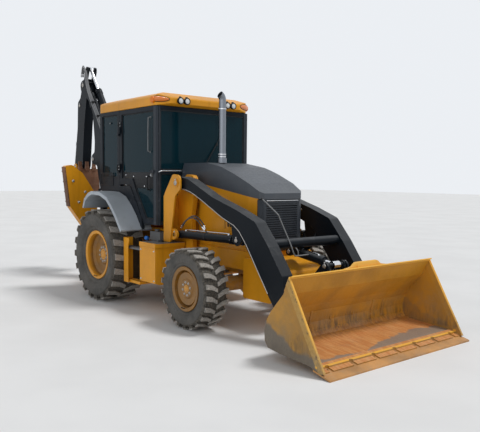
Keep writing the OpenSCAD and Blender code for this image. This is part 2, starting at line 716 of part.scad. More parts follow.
// Guide link that swings on the arms' lower cross bar
module tilt_guide() {
  color(yellow) {
    difference() {
      union() {
        both_sides() side(112, 132) polygon(rounded([[guide_pivot.x - 60, guide_pivot.y - 50, 50],
          [guide_pivot.x + 60, guide_pivot.y - 60, 50], [tilt_eye.x + 46, tilt_eye.y - 30, 40],
          [tilt_eye.x + 20, tilt_eye.y + 52, 40], [tilt_eye.x - 50, tilt_eye.y + 36, 40],
          [guide_pivot.x - 60, guide_pivot.y + 50, 50]]));
        bar_y(guide_pivot, 58, -132, 132);
      }
      bar_y(guide_pivot, 40 + fit, -133, 133);
    }
    both_sides() bar_y(tilt_eye, 26, 54, 113);
  }
}

// Pair of links between the guide link and the bucket
module tilt_link() {
  color(yellow) both_sides() difference() {
    side(140, 160) polygon(rounded([[tilt_lug.x - 46, tilt_lug.y - 46, 44], [tilt_lug.x + 46, tilt_lug.y - 40, 40],
      [tilt_eye.x + 50, tilt_eye.y + 10, 40], [tilt_eye.x + 10, tilt_eye.y + 50, 40],
      [tilt_eye.x - 50, tilt_eye.y + 10, 40]]));
    bar_y(tilt_lug, 24 + fit, 139, 161);
  }
}

// A bent plate of thickness t whose outside follows the points
function thick(c, t) = concat(c, [for (i = [len(c) - 1:-1:0])
  let (
    d1 = unit(i > 0 ? c[i] - c[i - 1] : c[1] - c[0]),
    d2 = unit(i < len(c) - 1 ? c[i + 1] - c[i] : c[i] - c[i - 1]),
    n = unit(turned(d1, 90) + turned(d2, 90)),
    k = n * turned(d1, 90)
  )
  c[i] + n * t / k]);

bolt_x = bucket_front - 150;
bolt_pitch = 320;
bucket_back = [[3880, 830], [3800, 660], [3640, 480], [3580, 390], [3550, 270], [3560, 180],
  [3600, 125], [3760, 102], [4140, 78], [4300, 40]];
side_in = 12;
module loader_bucket() {
  h = bucket_w / 2;
  color(yellow) {
    difference() {
      union() {
        side(-h + side_in, h - side_in) polygon(thick(bucket_back, bucket_t));
        // Raised bar behind the cutting edge's bolts, and the folded top edge
        side(-h + side_in, h - side_in) polygon([[bolt_x - 66, 73], [bolt_x - 66, 96],
          [bolt_x - 4, 81], [bolt_x - 4, 58]]);
        side(-h + side_in, h - side_in) polygon([[3868, 806], [3880, 830], [3912, 846],
          [3918, 834], [3890, 820], [3882, 804]]);
      }
      for (k = [-3:3]) plan(0, 200) {
        translate([bolt_x, k * bolt_pitch]) circle(r = 26);
        translate([bolt_x, k * bolt_pitch - 26]) square([bucket_front - bolt_x, 52]);
      }
    }
    both_sides() {
      side(h - bucket_t - side_in, h - side_in) polygon(concat(bucket_back, [[4330, 50]]));
      // Two stiffening strips along the front edge
      side(h - side_in, h) polygon([[3884, 834], [3876, 822], [3842, 750], [4254, 52], [4300, 40], [4330, 50]]);
      side(h - side_in, h - 4) polygon([[3842, 750], [3818, 698], [4196, 66], [4254, 52]]);
      for (y = [470, 656]) side(y, y + 24) polygon(rounded([[3370, 190, 55], [3575, 110, 20], [3575, 280, 0],
        [3600, 400, 0], [3560, 400, 40], [3380, 320, 60]]));
      bar_y(bucket_pivot, pin_r, 470, 680);
      side(166, 186) polygon(rounded([[3505, 440, 45], [3570, 260, 0], [3575, 380, 0], [3660, 500, 0],
        [3620, 530, 30], [3530, 560, 45]]));
      bar_y(tilt_lug, 24, 134, 192);
    }
    side(-150, 150) polygon(rounded([[3862, 790, 0], [3884, 832, 0], [3876, 896, 12], [3842, 890, 12], [3838, 830, 20], [3852, 768, 0]]));
  }
}

module cutting_edge() {
  color(steel) difference() {
    side(-bucket_w / 2, bucket_w / 2) polygon([[bucket_front - 200, 63.75], [bucket_front, 16.25],
      [bucket_front, 0], [bucket_front - 200, 47.5]]);
    for (k = [-3:3]) translate([bolt_x, k * bolt_pitch, 0]) cylinder(r = 10, h = 100);
  }
}

// Door frame with its window, closed
door_outline = [[156, 1606], [450, 1606], [550, 1460], [650, 1330], [712, 1230], [800, 1101],
  [1094, 1101], [1094, 2606], [156, 2606]];
door_window = [[216, 1690], [500, 1690], [600, 1520], [740, 1320], [850, 1170], [1030, 1170],
  [1030, 2550], [216, 2550]];
module door(s) {
  color(dark) mirror([0, s > 0 ? 0 : 1, 0]) {
    difference() {
      side(cab_half - wall_t, cab_half) polygon(door_outline);
      side(cab_half - wall_t - e, cab_half + e) polygon(door_window);
    }
    for (z = [1800, 2300]) translate([door_rear + 2, cab_half + 12, z]) cylinder(r = 12, h = 90);
    for (z = [1800, 2300]) box(door_rear + 6, door_rear + 40, cab_half, cab_half + 20, z, z + 90);
    box(980, 1060, cab_half, cab_half + 24, 1760, 1800);
  }
}

module door_glass(s) {
  color(glass) mirror([0, s > 0 ? 0 : 1, 0])
    side(cab_half - 26, cab_half - 26 + glass_t) polygon(door_window);
}

// Swinging post with the boom's foot bearings
module swing_post() {
  color(yellow) {
    difference() {
      union() {
        translate([swing_x, 0, 563]) cylinder(r = 108, h = 454);
        side(-130, 130) polygon([[swing_x - 60, 600], [swing_x - 60, 980], [swing_x - 108, 980],
          [swing_x - 108, 600]]);
        for (y = [-130, 98]) side(y, y + 32) polygon(rounded([[swing_x - 40, 570, 0], [swing_x - 40, 1010, 0],
          [-1480, 905, 60], [-1610, 880, 80], [-1750, 570, 60], [-1650, 500, 60], [-1500, 572, 60]]));
      }
      translate([swing_x, 0, 500]) cylinder(r = 45 + fit, h = 600);
    }
    bar_y(boom_foot, pin_r, -130, 130);
    for (y = [-98, 56]) bar_y(boom_cyl_low, 42, y, y + 42);
    bar_y(boom_cyl_low, pin_r * 0.8, -98, 98);
  }
}

boom_outline = [[-1440, 720, 60], [-1432, 1080, 60], [-1385, 1500, 200], [-1500, 2200, 200],
  [-1540, 2420, 60], [-1440, 2480, 60], [-1450, 2620, 60], [-1640, 2640, 60], [-1850, 2950, 200],
  [-2250, 3390, 90], [-2440, 3330, 90], [-2380, 3180, 60], [-2100, 3000, 90], [-1985, 2750, 200],
  [-1930, 2300, 200], [-1945, 2120, 60], [-2060, 2060, 55], [-2050, 1930, 55], [-1860, 1900, 60],
  [-1740, 1500, 200], [-1620, 1150, 100], [-1605, 860, 60], [-1560, 720, 60]];
module boom() {
  color(dark) {
    difference() {
      side(-boom_half, boom_half) polygon(rounded(boom_outline));
      bar_y(boom_foot, pin_r + fit, -boom_half - e, boom_half + e);
      // Room for the dipper's head and the cylinders' ends
      bar_y(dipper_pivot, 345, -84, 84);
      side(-60, 60) polygon([[-1420, 2480], [-1400, 2640], [-2170, 3650], [-2400, 3500], [-2200, 3000], [-1590, 2480]]);
      side(-60, 60) polygon([[-1640, 1200], [-1716, 1500], [-1884, 2000], [-1916, 2138], [-2110, 2110], [-2110, 1600],
        [-1760, 1100]]);
    }
    both_sides() difference() {
      side(84, 106) polygon(rounded([[-1950, 2900, 0], [-1900, 2980, 0], [-2250, 3390, 90],
        [-2440, 3330, 90], [-2400, 3180, 60], [-2110, 3000, 60], [-2060, 2880, 0]]));
      bar_y(dipper_pivot, pin_r, 83, 107);
    }
    bar_y(dipper_pivot, pin_r, -106, 106);
    bar_y(crowd_base, pin_r * 0.8, -61, 61);
    both_sides() bar_y(boom_cyl_top, 30, 34, 61);
  }
}

module boom_barrel() {
  color(yellow) barrel(boom_cyl_low, boom_cyl_top, 930, hoe_r, hoe_rod_r, -50, 50);
}

module boom_rod() {
  color(steel) rod(boom_cyl_low, boom_cyl_top, 930, hoe_rod_r, 44, -30, 30);
}

module crowd_barrel() {
  color(yellow) barrel(crowd_base, crowd_eye, 730, hoe_r, hoe_rod_r, -50, 50);
}

module crowd_rod() {
  color(steel) rod(crowd_base, crowd_eye, 700, hoe_rod_r, 40, -30, 30);
}

dipper_outline = [[-2250, 3600, 60], [-2160, 3570, 60], [-2170, 3500, 60], [-2260, 3280, 90],
  [-2240, 3100, 90], [-2350, 2600, 200], [-2440, 1900, 60], [-2560, 1700, 60], [-2590, 1560, 70],
  [-2700, 1520, 60], [-2760, 1620, 70], [-2760, 1900, 90], [-2620, 2560, 200], [-2600, 2880, 60],
  [-2590, 3010, 60], [-2490, 3080, 60], [-2420, 3260, 90], [-2330, 3400, 90]];
module dipper() {
  color(dark) {
    difference() {
      side(-dipper_half, dipper_half) polygon(rounded(dipper_outline));
      bar_y(dipper_pivot, pin_r + fit, -dipper_half - e, dipper_half + e);
      side(-56, 56) polygon([[-2330, 3360], [-2330, 3440], [-2290, 3575], [-2240, 3700], [-2000, 3700], [-2000, 3290], [-2106, 3290],
        [-2240, 3330]]);
      side(-57, 57) polygon([[-2452, 3020], [-2452, 2940], [-2672, 2280], [-2830, 2280], [-2830, 3100],
        [-2500, 3100]]);
    }
    both_sides() bar_y(crowd_eye, 30, 34, 57);
    bar_y(hoe_base, pin_r * 0.8, -57, 57);
    bar_y(dipper_tip, pin_r, -112, 112);
    bar_y(hoe_guide_pivot, 26, -112, 112);
  }
}

module hoe_barrel() {
  color(yellow) barrel(hoe_base, hoe_eye, 720, hoe_r - 4, hoe_rod_r, -50, 50);
}

module hoe_rod() {
  color(steel) rod(hoe_base, hoe_eye, 700, hoe_rod_r, 40, -30, 30);
}

module hoe_guide() {
  color(yellow) both_sides() {
    difference() {
      side(88, 106) polygon(rounded([[hoe_guide_pivot.x + 55, hoe_guide_pivot.y + 40, 45],
        [hoe_guide_pivot.x - 20, hoe_guide_pivot.y + 60, 45], [hoe_eye.x - 55, hoe_eye.y + 25, 40],
        [hoe_eye.x - 20, hoe_eye.y - 55, 40], [hoe_eye.x + 50, hoe_eye.y - 40, 40],
        [hoe_guide_pivot.x + 40, hoe_guide_pivot.y - 55, 45]]));
      bar_y(hoe_guide_pivot, 26 + fit, 87, 107);
    }
  }
  color(yellow) both_sides() bar_y(hoe_eye, 24, 36, 89);
}

module hoe_link() {
  color(yellow) both_sides() difference() {
    side(118, 138) polygon(rounded([[hoe_eye.x - 50, hoe_eye.y + 20, 40], [hoe_eye.x - 20, hoe_eye.y - 50, 40],
      [hoe_lug.x - 20, hoe_lug.y - 52, 44], [hoe_lug.x + 52, hoe_lug.y - 10, 44],
      [hoe_lug.x + 10, hoe_lug.y + 52, 44], [hoe_eye.x + 30, hoe_eye.y + 50, 40]]));
    bar_y(hoe_lug, 24 + fit, 117, 139);
  }
}

// Digging bucket: curved back, side plates, ears and teeth
hoe_back = [[-2530, 1283], [-2440, 1283], [-2330, 1330], [-2210, 1430], [-2150, 1560], [-2140, 1700],
  [-2160, 1840]];
tooth_pitch = 128;
module hoe_bucket() {
  color(yellow) {
    side(-hoe_half, hoe_half) polygon(thick(hoe_back, 12));
    both_sides() {
      side(hoe_half - 14, hoe_half) polygon(concat(hoe_back, [[-2230, 1830], [-2400, 1640], [-2560, 1460]]));
      difference() {
        side(88, 110) polygon(rounded([[-2700, 1560, 50], [-2700, 1650, 50], [-2600, 1650, 50],
          [-2460, 1480, 40], [-2370, 1325, 0], [-2385, 1308, 0], [-2440, 1285, 0], [-2500, 1285, 0], [-2600, 1340, 0]]));
        bar_y(dipper_tip, pin_r + fit, 87, 111);
      }
      bar_y(hoe_lug, 24, 88, 144);
    }
  }
  color(steel) for (k = [-2:2]) side(k * tooth_pitch - 32, k * tooth_pitch + 32) polygon([[-2186, 1806],
    [-2136, 1806], [-2132, 1864], [-2146, 1880], [-2154, 1964], [-2166, 1964], [-2178, 1880],
    [-2192, 1864]]);
}

// Stabilizer leg, raised, with its pad
stab_outline = [[-350, 560, 60], [-490, 540, 60], [-790, 930, 80], [-1020, 1250, 90], [-1090, 1860, 30],
  [-990, 1880, 50], [-820, 1760, 90], [-640, 1490, 150], [-570, 1130, 100], [-350, 700, 60]];
module stabilizer(s) {
  color(yellow) mirror([0, s > 0 ? 1 : 0, 0]) {
    difference() {
      front(stab_rear, stab_front) polygon(rounded(stab_outline));
      bar_x(stab_pivot, pin_r + fit, stab_rear - e, stab_front + e);
      front(stab_rear + 18, stab_front - 18) polygon([[-610, 845], [-640, 890], [-619, 930], [-353, 1353],
        [-100, 1300], [-100, 600], [-242, 668]]);
    }
    bar_x(stab_eye, 28, stab_rear + 17, stab_rear + 34);
    bar_x(stab_eye, 28, stab_front - 34, stab_front - 17);
  }
}

module stab_barrel(s) {
  color(yellow) mirror([0, s > 0 ? 1 : 0, 0]) rotate([0, 0, 90])
    barrel(stab_cyl_top, stab_eye, 600, 32, 20, -stab_front + 30, -stab_rear - 30, 22);
}

module stab_rod(s) {
  color(steel) mirror([0, s > 0 ? 1 : 0, 0]) rotate([0, 0, 90])
    rod(stab_cyl_top, stab_eye, 590, 20, 32, -stab_front + 38, -stab_rear - 38);
}

translate([-origin_x, 0, 0]) {
  main_frame();
  powertrain();
  front_axle();
  rear_axle();
  hood();
  side_panels();
  grille();
  exhaust_stack();
  cab_frame();
  cab_roof();
  cab_glass();
  cab_lamps();
  cab_interior();
  rear_fenders();
  side_tanks();
  steps();
  loader_towers();
  backhoe_frame();
  knuckle(1);  // knuckle_left
  knuckle(-1);  // knuckle_right
  wheel_rim(wheelbase, front_r, front_track / 2, front_rim_d, front_tyre_w, 100, 34, 92, 1);  // front_rim_left
  wheel_rim(wheelbase, front_r, front_track / 2, front_rim_d, front_tyre_w, 100, 34, 92, -1);  // front_rim_right
  tyre(wheelbase, front_r, front_track / 2, front_tyre_d, front_rim_d, front_tyre_w, front_lug, front_lugs, 1);  // front_tyre_left
  tyre(wheelbase, front_r, front_track / 2, front_tyre_d, front_rim_d, front_tyre_w, front_lug, front_lugs, -1);  // front_tyre_right
  wheel_rim(0, rear_r, rear_track / 2, rear_rim_d, rear_tyre_w, 130, 60, 72, 1);  // rear_rim_left
  wheel_rim(0, rear_r, rear_track / 2, rear_rim_d, rear_tyre_w, 130, 60, 72, -1);  // rear_rim_right
  tyre(0, rear_r, rear_track / 2, rear_tyre_d, rear_rim_d, rear_tyre_w, rear_lug, rear_lugs, 1);  // rear_tyre_left
  tyre(0, rear_r, rear_track / 2, rear_tyre_d, rear_rim_d, rear_tyre_w, rear_lug, rear_lugs, -1);  // rear_tyre_right
  door(1);  // door_left
  door(-1);  // door_right
  door_glass(1);  // door_glass_left
  door_glass(-1);  // door_glass_right
  loader_arms();
  arm_cross();
  lift_barrels();
  lift_rods();
  tilt_barrel();
  tilt_rod();
  tilt_guide();
  tilt_link();
  loader_bucket();
  cutting_edge();
  swing_post();
  boom();
  boom_barrel();
  boom_rod();
  dipper();
  crowd_barrel();
  crowd_rod();
  hoe_barrel();
  hoe_rod();
  hoe_guide();
  hoe_link();
  hoe_bucket();
  stabilizer(1);  // stabilizer_left
  stabilizer(-1);  // stabilizer_right
  stab_barrel(1);  // stab_barrel_left
  stab_barrel(-1);  // stab_barrel_right
  stab_rod(1);  // stab_rod_left
  stab_rod(-1);  // stab_rod_right
}
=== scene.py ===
"""Looks of the backhoe loader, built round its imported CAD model. Scene lengths are in metres."""
import bpy, bmesh, json, math
from math import cos, sin, pi, radians, tau
from mathutils import Matrix, Vector
from mathutils.bvhtree import BVHTree


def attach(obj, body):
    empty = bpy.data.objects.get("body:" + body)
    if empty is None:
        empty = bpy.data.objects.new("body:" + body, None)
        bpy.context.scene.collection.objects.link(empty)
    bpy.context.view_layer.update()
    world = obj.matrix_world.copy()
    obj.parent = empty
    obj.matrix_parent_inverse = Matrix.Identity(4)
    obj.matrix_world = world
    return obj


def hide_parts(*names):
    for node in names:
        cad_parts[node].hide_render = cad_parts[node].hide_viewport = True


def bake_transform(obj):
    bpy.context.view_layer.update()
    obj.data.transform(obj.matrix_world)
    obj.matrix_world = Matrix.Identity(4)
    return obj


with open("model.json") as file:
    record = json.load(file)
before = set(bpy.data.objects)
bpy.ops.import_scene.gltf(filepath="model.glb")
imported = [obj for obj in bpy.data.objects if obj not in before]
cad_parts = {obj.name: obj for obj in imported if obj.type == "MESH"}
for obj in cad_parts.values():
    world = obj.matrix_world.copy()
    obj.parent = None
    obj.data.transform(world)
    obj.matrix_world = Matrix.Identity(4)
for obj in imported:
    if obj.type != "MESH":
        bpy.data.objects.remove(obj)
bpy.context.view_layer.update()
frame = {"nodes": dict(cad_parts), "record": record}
nodes = frame["nodes"]
ORIGIN_X = 0.712  # the source's rear axle lies this far behind the origin
SIDES = (("left", 1), ("right", -1))
WHEELS = {"front": (2140, 460), "rear": (0, 630)}  # x and z of the middle; z is also the tyre's radius
CAB_SIDE = 774  # the outside of the cab's pillars, used where a ray finds nothing
DOOR_FACE = 733  # 1 mm outside the door's glass
HOOD_SIDE = 361.2  # where the seams on the engine's side covers lie
MARKER_Z = 2690  # middle of the corner marker lamps
WORLD_LIGHT, BACKDROP = 0.42, 0.9  # the world's strength for the object and for the eye
# name, energy, softness in degrees and direction of each sun
LAMPS = (("key", 1.8, 14, (0.3, 0.3, 0.9)), ("fill", 0.55, 60, (0.5, -0.8, 0.35)))


def P(x, y, z):
    """A point given as in the part's source: millimetres from the rear axle."""
    return Vector((x / 1000 - ORIGIN_X, y / 1000, z / 1000))


def placed(name, data):
    """A new object, linked to the scene."""
    o = bpy.data.objects.new(name, data)
    bpy.context.scene.collection.objects.link(o)
    return o


# ------------------------ camera
yaw, pitch, roll = radians(140.792), radians(-5.161), radians(0.526)
look = Vector((cos(pitch) * cos(yaw), cos(pitch) * sin(yaw), sin(pitch)))
right = look.cross(Vector((0, 0, 1))).normalized()
up = right.cross(look)
right, up = right * cos(roll) + up * sin(roll), up * cos(roll) - right * sin(roll)
camera = placed("camera", bpy.data.cameras.new("camera"))
camera.data.sensor_width = 36
camera.data.lens = 46.28
camera.data.shift_x, camera.data.shift_y = 0.0069, 0.035
turned = Matrix((right, up, -look)).transposed().to_4x4()
camera.matrix_world = Matrix.Translation(P(7819, -4908, 1720)) @ turned
bpy.context.scene.camera = camera


# ------------------------ materials
class Shader:
    """A node tree with short calls: a socket given as an input is linked, a value is set."""

    def __init__(self, name):
        self.m = bpy.data.materials.new(name)
        self.m.use_nodes = True
        self.t = self.m.node_tree
        self.bsdf = self.t.nodes["Principled BSDF"]
        where = self("TexCoord")
        self.co, self.normal = where.outputs["Object"], where.outputs["Normal"]

    def __call__(self, kind, out=0, **inputs):
        n = self.t.nodes.new("ShaderNode" + kind)
        for k, v in inputs.items():
            if k[0].islower():
                setattr(n, k, v)
            else:
                self.put(n.inputs[k.replace("_", " ")], v)
        return n if kind == "TexCoord" else n.outputs[out]

    def put(self, socket, v):
        if isinstance(v, bpy.types.NodeSocket):
            self.t.links.new(v, socket)
        elif isinstance(v, tuple) and len(v) == 3 and len(socket.default_value) == 4:
            socket.default_value = (*v, 1)
        else:
            socket.default_value = v

    def set(self, **inputs):
        for k, v in inputs.items():
            self.put(self.bsdf.inputs[k.replace("_", " ")], v)

    def mix(self, f, a, b):
        n = self.t.nodes.new("ShaderNodeMix")
        n.data_type = "RGBA"
        for i, v in ((0, f), (6, a), (7, b)):
            self.put(n.inputs[i], v)
        return n.outputs[2]

    def math(self, op, a, b=0.0, clamp=False):
        n = self.t.nodes.new("ShaderNodeMath")
        n.operation, n.use_clamp = op, clamp
        self.put(n.inputs[0], a)
        self.put(n.inputs[1], b)
        return n.outputs[0]

    def add(self, a, b, clamp=False):
        return self.math("ADD", a, b, clamp)

    def less(self, a, b):
        return self.math("SUBTRACT", a, b)

    def axis(self, i, of=None):
        return self("SeparateXYZ", i, Vector=of or self.co)

    def noise(self, scale, detail=4.0, rough=0.55, stretch=None, seed=0.0, turn=None):
        co = self.co
        if stretch or seed or turn:
            co = self("Mapping", Vector=co, Scale=stretch or (1, 1, 1), Rotation=turn or (0, 0, 0),
                      Location=(seed, seed * 0.7, -seed))
        return self("TexNoise", Vector=co, Scale=scale, Detail=detail, Roughness=rough)

    def step(self, v, lo, hi, a=0.0, b=1.0):
        n = self.t.nodes.new("ShaderNodeMapRange")
        n.interpolation_type = "SMOOTHSTEP"
        for i, q in enumerate((v, lo, hi, a, b)):
            self.put(n.inputs[i], q)
        return n.outputs[0]

    def times(self, *values):
        out = values[0]
        for v in values[1:]:
            out = self.math("MULTIPLY", out, v)
        return out

    def height(self, lo, hi, a=1.0, b=0.0):
        return self.step(self.axis(2), lo, hi, a, b)

    def within(self, low, high):
        """1 inside a box given in millimetres as in the part's source, on both sides of the middle."""
        soft = 0.003
        at = (self.axis(0), self.math("ABSOLUTE", self.axis(1)), self.axis(2))
        sides = [self.step(v, q - soft, q) for v, q in zip(at, P(*low))]
        return self.times(*sides, *(self.step(v, q, q + soft, 1.0, 0.0) for v, q in zip(at, P(*high))))

    def upward(self, lo=0.3, hi=0.95):
        return self.step(self.axis(2, self.normal), lo, hi)

    def edge(self, radius):
        """1 along sharp edges, from how far a bevelled normal turns from the real one."""
        n = self.t.nodes.new("ShaderNodeVectorMath")
        n.operation = "DOT_PRODUCT"
        self.put(n.inputs[0], self("Bevel", Radius=radius, samples=4))
        self.put(n.inputs[1], self("NewGeometry", 1))
        return self.step(self.less(1.0, n.outputs["Value"]), 0.03, 0.2)

    def bump(self, h, strength=0.2, distance=0.002, radius=0.0):
        n = dict(Height=h, Strength=strength, Distance=distance)
        if radius:
            n["Normal"] = self("Bevel", Radius=radius, samples=4)
        self.set(Normal=self("Bump", **n))


SIGNAL_YELLOW = (0.74, 0.315, 0.012)
AMBER_TONE = (0.80, 0.2, 0.006)
GUNMETAL = (0.13, 0.135, 0.14)
TAN_DUST = (0.36, 0.30, 0.22)
# Grey dust; on the dark paint's top faces it also serves as painted light that makes the tops read lighter.
GREY_DUST_AND_TOP_LIGHT = (0.17, 0.175, 0.18)


def paint(name, colour, rough=0.3, dust=0.5, low=(0.1, 1.1), wear=0.0, bare=(0.5, 0.48, 0.45), peel=0.12,
          vary=0.1, radius=0.004, spec=0.5, top=0.3, dirt=TAN_DUST, stains=0.0, zones=()):
    """Paint or plastic: clouding, orange peel, dust low down and on flat tops, streaks, worn edges. Where top
    is set high, the film on the tops also stands in for light falling on them (painted light).
    """
    s = Shader(name)
    big, fine = s.noise(1.7, 6), s.noise(38, 5)
    dark = tuple(c * (1 - vary) for c in colour)
    light = tuple(min(1, c * (1 + vary)) for c in colour)
    c = s.mix(s.step(big, 0.35, 0.65), dark, light)
    if stains:
        runs = s.step(s.noise(9, 6, 0.6, stretch=(1, 1, 0.12), seed=5.1), 0.52, 0.72)
        c = s.mix(s.times(runs, stains), c, tuple(v * 0.45 for v in colour))
    for zone_low, zone_high, other in zones:
        c = s.mix(s.within(zone_low, zone_high), c, other)
    patch = s.times(s.step(s.noise(5.5, 8, 0.65, seed=3.1), 0.4, 0.75), s.step(fine, 0.3, 0.75))
    film = s.times(s.height(*low), s.add(s.times(patch, 0.9), 0.12))
    flat = s.times(s.upward(), s.add(s.times(patch, 0.6), 0.4), top)
    film = s.times(s.add(film, flat, True), dust)
    c = s.mix(film, c, dirt)
    rough_now = s.add(s.step(fine, 0.3, 0.7, rough * 0.85, rough * 1.2), s.times(film, 0.5), True)
    if wear:
        e = s.times(s.edge(0.008), s.step(s.noise(23, 6, seed=1.3), 0.62 - wear * 0.3, 0.72))
        c = s.mix(e, c, bare)
    s.set(Base_Color=c, Roughness=rough_now, Specular_IOR_Level=spec)
    s.bump(s.add(s.noise(420, 2), s.times(patch, 0.6)), peel, 0.0015, radius)
    return s.m


def metal(name, colour, rough, rust=0.0, stretch=(1, 1, 1)):
    """Brushed or rusty metal."""
    s = Shader(name)
    n = s.noise(60, 5, stretch=stretch)
    spots = s.step(s.noise(9, 8, 0.7, seed=2.2), 0.72 - rust * 0.4, 0.8)
    under = (0.3, 0.17, 0.09) if rust else (0.35, 0.35, 0.36)
    c = s.mix(spots if rust else s.step(n, 0.2, 0.8, 0, 0.25), colour, under)
    s.set(Base_Color=c, Roughness=s.step(n, 0.25, 0.75, rough * 0.7, rough * 1.4))
    s.put(s.bsdf.inputs["Metallic"], s.less(1.0, spots) if rust else 1.0)
    s.bump(n, 0.08, 0.001, 0.002)
    return s.m


def rubber(name, colour, dusty, bumpy, dirt, rough):
    """Rubber of hoses and seals under a film of dirt."""
    s = Shader(name)
    big, fine = s.noise(4.5, 8, 0.65), s.noise(55, 6, 0.6)
    film = s.times(s.step(big, 0.32, 0.68, 0.35, 1.0), s.step(fine, 0.3, 0.7, 0.45, 1.0), dusty)
    s.set(Base_Color=s.mix(film, colour, dirt),
          Roughness=s.step(fine, 0.2, 0.8, rough * 0.85, min(1, rough * 1.15)), Specular_IOR_Level=0.3)
    s.bump(s.add(s.noise(160, 4), s.times(fine, 0.8)), bumpy, 0.004)
    return s.m


def tyre_rubber(name, x, z, rim, lug):
    """Tyre rubber: chalky walls with moulded rings, dust between the lugs, scuffed light lug tops."""
    outer = z
    s = Shader(name)
    across = s.less(s.axis(0), x / 1000 - ORIGIN_X)
    along = s.less(s.axis(2), z / 1000)
    r = s.math("SQRT", s.add(s.times(across, across), s.times(along, along)))
    big, fine, grit = s.noise(3.5, 8, 0.65), s.noise(55, 6, 0.6), s.noise(190, 3)
    wall = s.mix(s.times(s.step(big, 0.3, 0.7), s.step(fine, 0.3, 0.7, 0.5, 1.0)), (0.07, 0.068, 0.064),
                 (0.16, 0.15, 0.135))
    root = s.mix(s.step(fine, 0.35, 0.65), (0.05, 0.047, 0.042), (0.13, 0.115, 0.095))
    top = s.mix(s.times(s.step(fine, 0.25, 0.7), s.step(big, 0.25, 0.6, 0.5, 1.0)), (0.2, 0.19, 0.175),
                (0.42, 0.39, 0.35))
    c = s.mix(s.step(r, (outer - 2.4 * lug) / 1000, (outer - 1.6 * lug) / 1000), wall, root)
    c = s.mix(s.step(r, (outer - 0.75 * lug) / 1000, (outer - 0.25 * lug) / 1000), c, top)
    s.set(Base_Color=c, Roughness=s.step(fine, 0.2, 0.8, 0.75, 0.95), Specular_IOR_Level=0.3)
    rings = s.times(s.math("SINE", s.times(r, tau / 0.021)),
                    s.step(r, (rim + 18) / 1000, (rim + 30) / 1000),
                    s.step(r, (rim + 70) / 1000, (rim + 82) / 1000, 1.0, 0.0))
    s.bump(s.add(s.add(grit, s.times(fine, 0.8)), s.times(rings, 0.35)), 0.5, 0.004)
    return s.m


def plain(name, colour, rough, scale=120):
    """Clean moulded plastic."""
    s = Shader(name)
    n = s.noise(scale, 4)
    c = s.mix(s.step(n, 0.3, 0.7), tuple(v * 0.85 for v in colour), tuple(v * 1.15 for v in colour))
    s.set(Base_Color=c, Roughness=s.step(n, 0.3, 0.7, rough * 0.85, rough * 1.15))
    s.bump(n, 0.1, 0.001)
    return s.m


def cloth(name, colour):
    """Woven seat cloth: crossed threads with a soft sheen."""
    s = Shader(name)
    warp = s.math("SINE", s.times(s.add(s.axis(0), s.axis(2)), tau / 0.0022))
    weft = s.math("SINE", s.times(s.axis(1), tau / 0.0022))
    weave = s.add(s.times(warp, weft, 0.5), 0.5)
    worn = s.step(s.noise(7, 5), 0.35, 0.7)
    c = s.mix(s.times(weave, 0.5), tuple(v * 0.7 for v in colour), tuple(v * 1.3 for v in colour))
    s.set(Base_Color=s.mix(s.times(worn, 0.3), c, TAN_DUST), Roughness=s.step(weave, 0, 1, 0.8, 0.95),
          Sheen_Weight=0.4)
    s.bump(weave, 0.4, 0.0006)
    return s.m


def glazing(name, tint, alpha):
    """Tinted cab glass with faint cloudy smears."""
    s = Shader(name)
    n = s.noise(7, 6, 0.6)
    s.set(Base_Color=s.mix(s.step(n, 0.3, 0.8, 0.0, 0.25), tint, tuple(0.9 * v + 0.005 for v in tint)),
          Roughness=s.step(n, 0.4, 0.8, 0.03, 0.09), Alpha=alpha, Specular_IOR_Level=0.1)
    s.m.surface_render_method = "BLENDED"
    return s.m


def lens(name, colour):
    """Moulded lamp lens with fine flutes."""
    s = Shader(name)
    flutes = s.math("SINE", s.times(s.add(s.axis(1), s.axis(0)), tau / 0.006))
    s.set(Base_Color=s.mix(s.step(flutes, -1, 1, 0, 0.35), colour, tuple(v * 0.55 for v in colour)),
          Coat_Weight=0.6, Roughness=s.step(s.noise(30), 0.3, 0.7, 0.12, 0.192))
    s.bump(flutes, 0.35, 0.0008)
    return s.m


